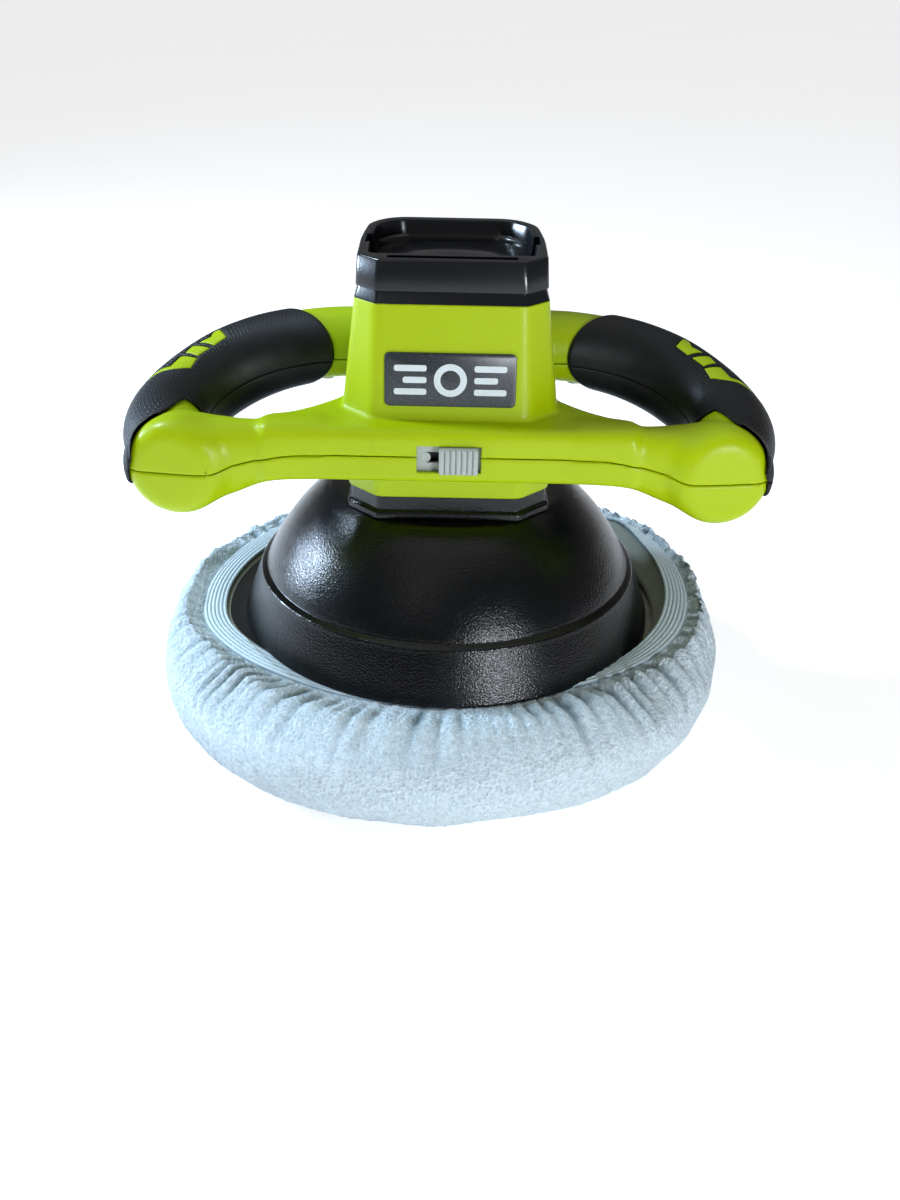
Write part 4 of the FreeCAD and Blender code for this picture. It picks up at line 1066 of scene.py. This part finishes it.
def smooth_noise(across, along, seed, turns_across, turns_along):
    """Seeded noise on a grid of the unit square: waves of whole counts one way and free counts the other."""
    draw = np.random.default_rng(seed)
    total = 0.0
    waves = zip(draw.integers(*turns_across, 14), draw.uniform(*turns_along, 14), draw.uniform(0, 6.28, 14))
    for turns, cycles, phase in waves:
        total = total + np.sin(turns * across + cycles * along + phase)
    return total / math.sqrt(7.0)


BONNET_ROUND, CLOTH_WALL = 520, 2.2
turn = np.linspace(-np.pi, np.pi, BONNET_ROUND, endpoint=False)
opening, width = band_at(turn, 1), band_at(turn, 2)
inner_height, outer_height, gather = band_at(turn, 3), band_at(turn, 4), band_at(turn, 5)
outer_edge = opening + width
swell = 0.9 * seeded_waves(turn, [2, 3, 5, 7], 4)


def ring_station(radius, height):
    return np.stack([np.broadcast_to(radius, turn.shape), np.broadcast_to(height, turn.shape)], -1)


crest = np.maximum(outer_height + 1.6, 46.6 + 0.5 * swell)
crest_at = np.clip(outer_edge + 8.0, 111.0, 122.5)
lean = 2.6 * np.cos(turn)
cloth_stations = np.stack([
    ring_station(3.0, 0.3),
    ring_station(50.0, 0.15),
    ring_station(96.0, 0.1),
    ring_station(110.0, 0.5),
    ring_station(119.8 + 0.5 * swell, 3.4),
    ring_station(126.2 + 0.5 * swell + 0.4 * lean, 10.0),
    ring_station(129.2 + 0.4 * swell + 0.8 * lean, 18.0),
    ring_station(129.8 + 0.4 * swell + lean, 27.0),
    ring_station(127.4 + 0.5 * swell + lean, 36.0),
    ring_station(0.5 * (crest_at + 127.5 + lean), 42.9 + 0.3 * (crest - 46)),
    ring_station(crest_at, crest),
    ring_station(0.5 * (outer_edge + crest_at) + 0.3, 0.45 * crest + 0.55 * (outer_height + 0.6)),
    ring_station(outer_edge + 0.8, outer_height + 0.1),
    ring_station(outer_edge - 2.0, outer_height - 1.2),
    ring_station(opening + 1.4, inner_height - 1.4),
    ring_station(opening + 0.5, inner_height - 2.0),
    ring_station(np.minimum(opening - 0.2, 0.5 * opening + 51.5), 0.5 * inner_height + 20.2),
    ring_station(np.minimum(opening - 1.6, 101.0), 41.9),
])
STEPS = [4, 4, 4, 5, 5, 5, 5, 5, 6, 7, 7, 6, 3, 3, 2, 3, 3]


def station_curves(stations, steps):
    """Catmull-Rom curves through rings of stations, with its own number of steps for each span."""
    padded = np.concatenate([2 * stations[:1] - stations[1:2], stations, 2 * stations[-1:] - stations[-2:-1]])
    rows = []
    for k, count in enumerate(steps):
        a, b, c, d = padded[k:k + 4]
        for t in np.arange(count) / count:
            rows.append(0.5 * (2 * b + (c - a) * t + (2 * a - 5 * b + 4 * c - d) * t**2
                               + (3 * b - a - 3 * c + d) * t**3))
    return np.stack(rows + [stations[-1]])


cloth = station_curves(cloth_stations, STEPS)
rows_count = len(cloth)
row_at = np.concatenate([k + np.arange(n) / n for k, n in enumerate(STEPS)] + [[len(STEPS)]])
radius, height = cloth[..., 0], cloth[..., 1]
run_out = np.gradient(radius, axis=0), np.gradient(height, axis=0)
length = np.hypot(*run_out) + 1e-9
normal_r, normal_z = run_out[1] / length, -run_out[0] / length
from_band = np.maximum(radius - outer_edge, 0.0)
on_top = ((row_at[:, None] > 7.2) & (row_at[:, None] < 12.3)).astype(float)
pleat_phase = 0.5 * seeded_waves(turn, [3, 5, 11], 8)
pleats = (np.abs(np.sin(46 * turn + pleat_phase * 2.2 + 0.04 * from_band))
          + 0.6 * np.abs(np.sin(31 * turn + 1.3 + pleat_phase * 3.0)))
patchy = np.clip(0.85 + 0.4 * seeded_waves(turn, [4, 9, 14, 23], 21), 0.35, 1.5)
settle = np.clip((radius - 88.0) / 14.0, 0.2, 1.0)
pleat_depth = 1.7 * settle * gather * patchy * np.exp(-((from_band / 22.0) ** 2)) * on_top
long_folds = 0.8 * np.abs(seeded_waves(turn, [19, 27, 34], 13)) * np.exp(-(from_band / 30.0) ** 2) * on_top
lumps = 0.45 * smooth_noise(turn[None], row_at[:, None], 31, (3, 26), (0.3, 2.0))
side = np.clip((row_at[:, None] - 3.0) / 1.0, 0.0, 1.0) * np.clip((12.5 - row_at[:, None]) / 1.0, 0.0, 1.0)
tufts = np.random.default_rng(5).normal(0.0, 1.0, radius.shape)
tufts = 0.17 * np.clip(tufts, -1.8, 1.8) * side
push = (pleats - 1.2) * pleat_depth - long_folds + lumps * side + tufts
push = np.where(on_top > 0, np.maximum(push, -0.5 - 0.25 * np.maximum(radius - 92.0, 0.0)), push)
radius = radius + normal_r * push
height = height + normal_z * push
height = np.maximum(height, 0.05)
under_rim = 42.75 + 9.0 * np.clip((radius - 98.4) / 4.5, 0.0, 1.0)
height = np.where((row_at[:, None] > 9) & (radius < 102.9), np.minimum(height, under_rim), height)
cloth_points = np.stack([PAD_MIDDLE + radius * np.cos(turn), radius * np.sin(turn), height], -1)
cloth_points = cloth_points.reshape(-1, 3)
cloth_faces = grid_quads(rows_count, BONNET_ROUND, closed=True)
centre = len(cloth_points)
cloth_points = np.vstack([cloth_points, [[PAD_MIDDLE, 0.0, 0.3]]])
first_ring = np.arange(BONNET_ROUND)
hub_faces = np.stack([np.full(BONNET_ROUND, centre), np.roll(first_ring, -1), first_ring], 1)
# The lining mask marks the turned-in back, which the material colours with painted shade.
folded = np.clip(row_at - 12.5, 0.0, 1.0)
wear_and_lining_shade = np.concatenate([np.repeat(folded, BONNET_ROUND), [0.0]])
mesh = bpy.data.meshes.new("terry_bonnet")
mesh.from_pydata((cloth_points * MM).tolist(), [], cloth_faces.tolist() + hub_faces.tolist())
layer = mesh.attributes.new("lining", "FLOAT", "POINT")
layer.data.foreach_set("value", wear_and_lining_shade.astype(np.float32))
# Painted shade in the pleat hollows: how far each point lies down in a pleat.
painted_crease_shade = np.clip(pleat_depth * (1.1 - pleats), 0.0, 1.6).reshape(-1) / 1.6
layer = mesh.attributes.new("crease_shade", "FLOAT", "POINT")
layer.data.foreach_set("value", np.append(painted_crease_shade, 0.0).astype(np.float32))
bonnet = bpy.data.objects.new("terry_bonnet", mesh)
bpy.context.scene.collection.objects.link(bonnet)
mesh.shade_smooth()

# Cotton terry towelling: looped pile about 1.8 mm across that scatters light, and its smooth knitted back
# showing where the hem turns in. Painted shade darkens the colour between the loops, in the pleat hollows,
# on the turned-in back (a grey-green) and in brown-grey patches over the lower left edge.
TERRY = blank_material("white_cotton_terry")
place = add(TERRY, "TexCoord").outputs["Object"]
loops = add(TERRY, "TexVoronoi", {"Vector": place, "Scale": 560.0, "Randomness": 1.0})
curls = add(TERRY, "TexNoise", {"Vector": place, "Scale": 950.0, "Detail": 2.0, "Distortion": 1.6})
nap = add(TERRY, "TexNoise", {"Vector": place, "Scale": 190.0, "Detail": 3.0, "Distortion": 0.8})
pile = add(TERRY, "Math", {0: curls.outputs["Fac"], 1: 1.3, 2: loops.outputs["Distance"]},
           operation="MULTIPLY_ADD")
uneven_pile = add(TERRY, "Math", {0: nap.outputs["Fac"], 1: 1.6, 2: pile.outputs[0]},
                  operation="MULTIPLY_ADD")
back = add(TERRY, "Attribute", attribute_name="lining").outputs["Fac"]
smooth_back = add(TERRY, "Math", {0: 1.0, 1: back}, operation="SUBTRACT", use_clamp=True)
relief = add(TERRY, "Math", {0: uneven_pile.outputs[0], 1: smooth_back.outputs[0]}, operation="MULTIPLY")
bump = add(TERRY, "Bump", {"Height": relief.outputs[0], "Strength": 1.0, "Distance": 0.0012})
# Painted shade: the fibre colour is darker where the pile is low, between the loops.
pile_hollow_shade = add(TERRY, "MapRange", {0: pile.outputs[0], 1: 0.5, 2: 1.3})
fibre = colour_mix(TERRY, pile_hollow_shade.outputs[0], "#c0dae7", "#e3f4fc")
split = add(TERRY, "SeparateXYZ", {0: place})
# Painted shade: brown-grey in patches towards the lower left edge, where the cloth curves under.
low_edge = add(TERRY, "MapRange", {0: split.outputs[2], 1: 0.03, 2: 0.002, 3: 0.0, 4: 1.0})
to_left = add(TERRY, "MapRange", {0: split.outputs[0], 1: 0.03, 2: -0.09, 3: 0.1, 4: 1.0})
lower_left_shade = add(TERRY, "Math", {0: low_edge.outputs[0], 1: to_left.outputs[0]}, operation="MULTIPLY")
patchy_lower_left_shade = add(TERRY, "Math", {0: lower_left_shade.outputs[0], 1: nap.outputs["Fac"]},
                   operation="MULTIPLY", use_clamp=True)
with_lower_left_shade = add(TERRY, "Mix", {0: patchy_lower_left_shade.outputs[0], 6: fibre.outputs[2], 7: colour("#6e6a66")},
            data_type="RGBA")
# Painted shade: the hollows of the pleats are darkened.
crease_shade = add(TERRY, "Attribute", attribute_name="crease_shade").outputs["Fac"]
shaded = add(TERRY, "Mix", {0: crease_shade, 6: with_lower_left_shade.outputs[2], 7: colour("#788f9a")}, data_type="RGBA")
# Painted shade: the turned-in knitted back is coloured a shaded grey-green.
with_lining_shade = add(TERRY, "Mix", {0: back, 6: shaded.outputs[2], 7: colour("#90978d")}, data_type="RGBA")
finish_material(TERRY, Base_Color=with_lining_shade.outputs[2], Roughness=0.95, Normal=bump.outputs[0], Sheen_Weight=0.25,
                Sheen_Roughness=0.5)
bonnet.data.materials.append(TERRY)
with_wall(bonnet, CLOTH_WALL)
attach(bonnet, "pad")
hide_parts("bonnet")

# Elastic band: woven webbing of ribbed rubber cords, sewn flat round the opening with a turned-in edge.
BAND_ROUND, BAND_THICK, CORDS = 900, 1.3, 6
turn = np.linspace(-np.pi, np.pi, BAND_ROUND, endpoint=False)
across = np.linspace(0.0, 1.0, 49)
cord_lift = 0.5 * np.abs(np.sin(np.pi * CORDS * across)) ** 0.6
crimp = 0.10 * np.sin(BAND_ROUND / 6 * turn)
outer_r, inner_r = band_at(turn, 1) + band_at(turn, 2), band_at(turn, 1)
outer_z, inner_z = band_at(turn, 4), band_at(turn, 3)
slope_r, slope_z = inner_r - outer_r, inner_z - outer_z
span = np.hypot(slope_r, slope_z)
lift_r, lift_z = slope_z / span, -slope_r / span
bow = 0.5 * np.sin(np.pi * across)
lift = (cord_lift + bow)[:, None] + crimp[None] * (across[:, None] > 0.04) + 0.25
top_r = outer_r + across[:, None] * slope_r + lift * lift_r
top_z = outer_z + across[:, None] * slope_z + lift * lift_z
low_lift = lift[::-1] - BAND_THICK + 0.3
low_r = outer_r + across[::-1, None] * slope_r + (low_lift - cord_lift[::-1, None]) * lift_r
low_z = outer_z + across[::-1, None] * slope_z + (low_lift - cord_lift[::-1, None]) * lift_z
ring_r, ring_z = np.vstack([top_r, low_r]), np.vstack([top_z, low_z])
under_rim = np.interp(ring_r, [93.0, 97.5], [42.85, 60.0])
ring_z = np.minimum(ring_z, under_rim)
points = np.stack([PAD_MIDDLE + ring_r * np.cos(turn), ring_r * np.sin(turn), ring_z], -1).reshape(-1, 3)
faces = grid_quads(len(ring_r), BAND_ROUND, closed=True)
last = (len(ring_r) - 1) * BAND_ROUND
number = np.arange(BAND_ROUND)
seal = np.stack([last + number, last + np.roll(number, -1), np.roll(number, -1), number], 1)
elastic = put_piece("elastic_webbing", points, np.vstack([faces, seal]))
elastic = settled(elastic)
elastic.data.shade_smooth()
# Painted shade: the valleys between the cords and the underside of the band are darkened in the colour.
groove_shade_amount = np.repeat(np.concatenate([1.0 - cord_lift / 0.5, np.ones(len(across))]), BAND_ROUND)
layer = elastic.data.attributes.new("groove_shade", "FLOAT", "POINT")
layer.data.foreach_set("value", groove_shade_amount[:len(elastic.data.vertices)].astype(np.float32))

# Woven polyester webbing: fine threads across, 0.9 mm apart, over the cords; slightly silky. Its colour
# has painted shade in the grooves between the cords.
WEBBING = blank_material("white_elastic_webbing")
place = add(WEBBING, "TexCoord").outputs["Object"]
polar = add(WEBBING, "Mapping", {"Vector": place, "Location": (0.0045, 0.0, 0.0)})
ring = add(WEBBING, "SeparateXYZ", {0: polar.outputs[0]})
angle_of = add(WEBBING, "Math", {0: ring.outputs[1], 1: ring.outputs[0]}, operation="ARCTAN2")
threads = add(WEBBING, "Math", {0: angle_of.outputs[0], 1: 720.0}, operation="MULTIPLY")
wave = add(WEBBING, "Math", {0: threads.outputs[0]}, operation="SINE")
fuzz = add(WEBBING, "TexNoise", {"Vector": place, "Scale": 900.0, "Detail": 2.0})
weave = add(WEBBING, "Math", {0: wave.outputs[0], 1: 0.5, 2: fuzz.outputs["Fac"]}, operation="MULTIPLY_ADD")
bump = add(WEBBING, "Bump", {"Height": weave.outputs[0], "Strength": 0.7, "Distance": 0.00018})
shade = add(WEBBING, "MapRange", {0: weave.outputs[0], 1: -0.2, 2: 1.2})
tint = colour_mix(WEBBING, shade.outputs[0], "#c2d8e3", "#e6f4fa")
# Painted shade in the grooves between the cords.
groove_shade = add(WEBBING, "Attribute", attribute_name="groove_shade")
deep = add(WEBBING, "Mix", {0: groove_shade.outputs["Fac"], 6: tint.outputs[2], 7: colour("#879ca6")},
           data_type="RGBA")
finish_material(WEBBING, Base_Color=deep.outputs[2], Roughness=0.62, Normal=bump.outputs[0],
                Sheen_Weight=0.15)
elastic.data.materials.append(WEBBING)
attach(elastic, "pad")
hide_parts("elastic_band")


# ------------------------------------------------------------------------------------------------
# Inner parts: motor, leads, bearings, hub and screws keep their CAD shapes, each in its own metal or
# plastic. Most of them show only through the gaps.


def machined(name, code, low, high, metallic=1.0):
    """A turned or stamped finish: one colour, with roughness that varies in fine streaks."""
    material = blank_material(name)
    spot = add(material, "TexCoord").outputs["Object"]
    streaks = add(material, "Mapping", {"Vector": spot, "Scale": (1.0, 1.0, 6.0)})
    noise = add(material, "TexNoise", {"Vector": streaks.outputs[0], "Scale": 300.0, "Detail": 4.0})
    varied = add(material, "MapRange", {0: noise.outputs["Fac"], 3: low, 4: high})
    relief = add(material, "Bump", {"Height": noise.outputs["Fac"], "Strength": 0.2, "Distance": 0.00003})
    return finish_material(material, Base_Color=colour(code), Metallic=metallic, Roughness=varied.outputs[0],
                           Normal=relief.outputs[0])


paint(machined("drawn_steel_can", "#8d9092", 0.3, 0.45), "motor_can", "motor_mount")
paint(machined("ground_steel", "#b9bcbe", 0.16, 0.3), "motor_shaft", "front_bearing", "rear_bearing",
      "bearing_inner_race", "bearing_outer_race", "bearing_clip")
paint(machined("zinc_plated_steel", "#a9adb3", 0.22, 0.4), "housing_screws", "shroud_screws", "motor_screws",
      "counterweight_screws", "pad_screw", "pad_washer")
paint(machined("die_cast_zinc", "#84888b", 0.38, 0.55), "eccentric_hub", "counterweight")
paint(machined("varnished_winding_steel", "#6d5140", 0.3, 0.5), "armature")
paint(machined("commutator_copper", "#b87352", 0.22, 0.38), "commutator")
paint(machined("ferrite_magnet", "#2c2d30", 0.5, 0.7, 0.0), "motor_magnets")
paint(machined("carbon_brush", "#202124", 0.5, 0.7, 0.0), "carbon_brushes")
paint(machined("black_nylon_moulding", "#131416", 0.42, 0.6, 0.0), "motor_end_cap", "slide_switch")
paint(machined("red_pvc_insulation", "#a3141a", 0.34, 0.46, 0.0), "battery_lead", "switch_lead")
paint(machined("black_pvc_insulation", "#101113", 0.34, 0.46, 0.0), "return_lead")


# ------------------------------------------------------------------------------------------------
# Room: a plain pale floor, a cool soft light from the upper left, a paler one from the right, and a
# camera held in front of the machine and above it.

FLOOR = blank_material("pale_studio_paper")
place = add(FLOOR, "TexCoord").outputs["Object"]
paper = add(FLOOR, "TexNoise", {"Vector": place, "Scale": 4.0})
tint = colour_mix(FLOOR, paper.outputs["Fac"], "#f6f6f6", "#fbfbfb")
finish_material(FLOOR, Base_Color=tint.outputs[2], Roughness=0.9, Emission_Color=colour("#ffffff"),
                Emission_Strength=0.5)
floor = put_piece("floor", np.array([[-9e3, -9e3, 0], [9e3, -9e3, 0], [9e3, 9e3, 0], [-9e3, 9e3, 0.0]]),
                  np.array([[0, 1, 2, 3]]))
floor.data.materials.append(FLOOR)


def aimed(location, target, roll=0.0):
    """Placing that puts an object at location with its -Z axis towards target."""
    forward = np.array(target, float) - location
    forward /= np.linalg.norm(forward)
    right = np.cross(forward, (0.0, 0.0, 1.0))
    right /= np.linalg.norm(right)
    up = np.cross(right, forward)
    turned_right = math.cos(roll) * right + math.sin(roll) * up
    turned_up = -math.sin(roll) * right + math.cos(roll) * up
    placing = np.eye(4)
    placing[:3, :4] = np.stack([turned_right, turned_up, -forward, location], 1)
    return Matrix(placing.tolist())


def soft_light(name, location, target, size, power, code):
    light = bpy.data.lights.new(name, "AREA")
    light.shape = "RECTANGLE"
    light.size, light.size_y = size
    light.energy = power
    light.color = colour(code)[:3]
    lamp = bpy.data.objects.new(name, light)
    lamp.matrix_world = aimed(location, target)
    bpy.context.scene.collection.objects.link(lamp)


MACHINE = (0.0, 0.0, 0.1)
soft_light("window_low_left", (-0.88, 0.22, 0.33), MACHINE, (0.13, 0.13), 10.0, "#cfe6ff")
soft_light("window_high_left", (-0.62, 0.13, 0.80), MACHINE, (0.11, 0.11), 6.0, "#cfe6ff")
soft_light("lamp_right", (0.46, -0.86, 0.24), MACHINE, (0.13, 0.13), 4.6, "#f1f6ff")
soft_light("lamp_front", (-0.35, -0.9, 0.95), MACHINE, (0.5, 0.5), 0.5, "#ffffff")
sky = bpy.data.lights.new("ceiling", "SUN")
sky.energy = 0.7
sky.angle = math.radians(80.0)
ceiling = bpy.data.objects.new("ceiling", sky)
ceiling.matrix_world = aimed((0.0, 0.3, 2.0), (0.0, 0.0, 0.0))
bpy.context.scene.collection.objects.link(ceiling)

scene = bpy.context.scene
world = bpy.data.worlds.new("pale_room")
world.use_nodes = True
world.node_tree.nodes["Background"].inputs["Color"].default_value = colour("#ffffff")
world.node_tree.nodes["Background"].inputs["Strength"].default_value = 0.15
scene.world = world
scene.view_settings.view_transform = "Standard"

CAMERA_PLACE = np.array((0.0008, -0.539, 0.338))
PITCH, YAW, CAMERA_ROLL = math.radians(28.73), math.radians(0.1), math.radians(1.19)
ahead = (math.sin(YAW) * math.cos(PITCH), math.cos(YAW) * math.cos(PITCH), -math.sin(PITCH))
camera_data = bpy.data.cameras.new("camera")
camera_data.lens = 39.0
camera_data.sensor_width = 36.0
camera_data.clip_start = 0.01
camera = bpy.data.objects.new("camera", camera_data)
camera.matrix_world = aimed(CAMERA_PLACE, CAMERA_PLACE + ahead, CAMERA_ROLL)
scene.collection.objects.link(camera)
scene.camera = camera
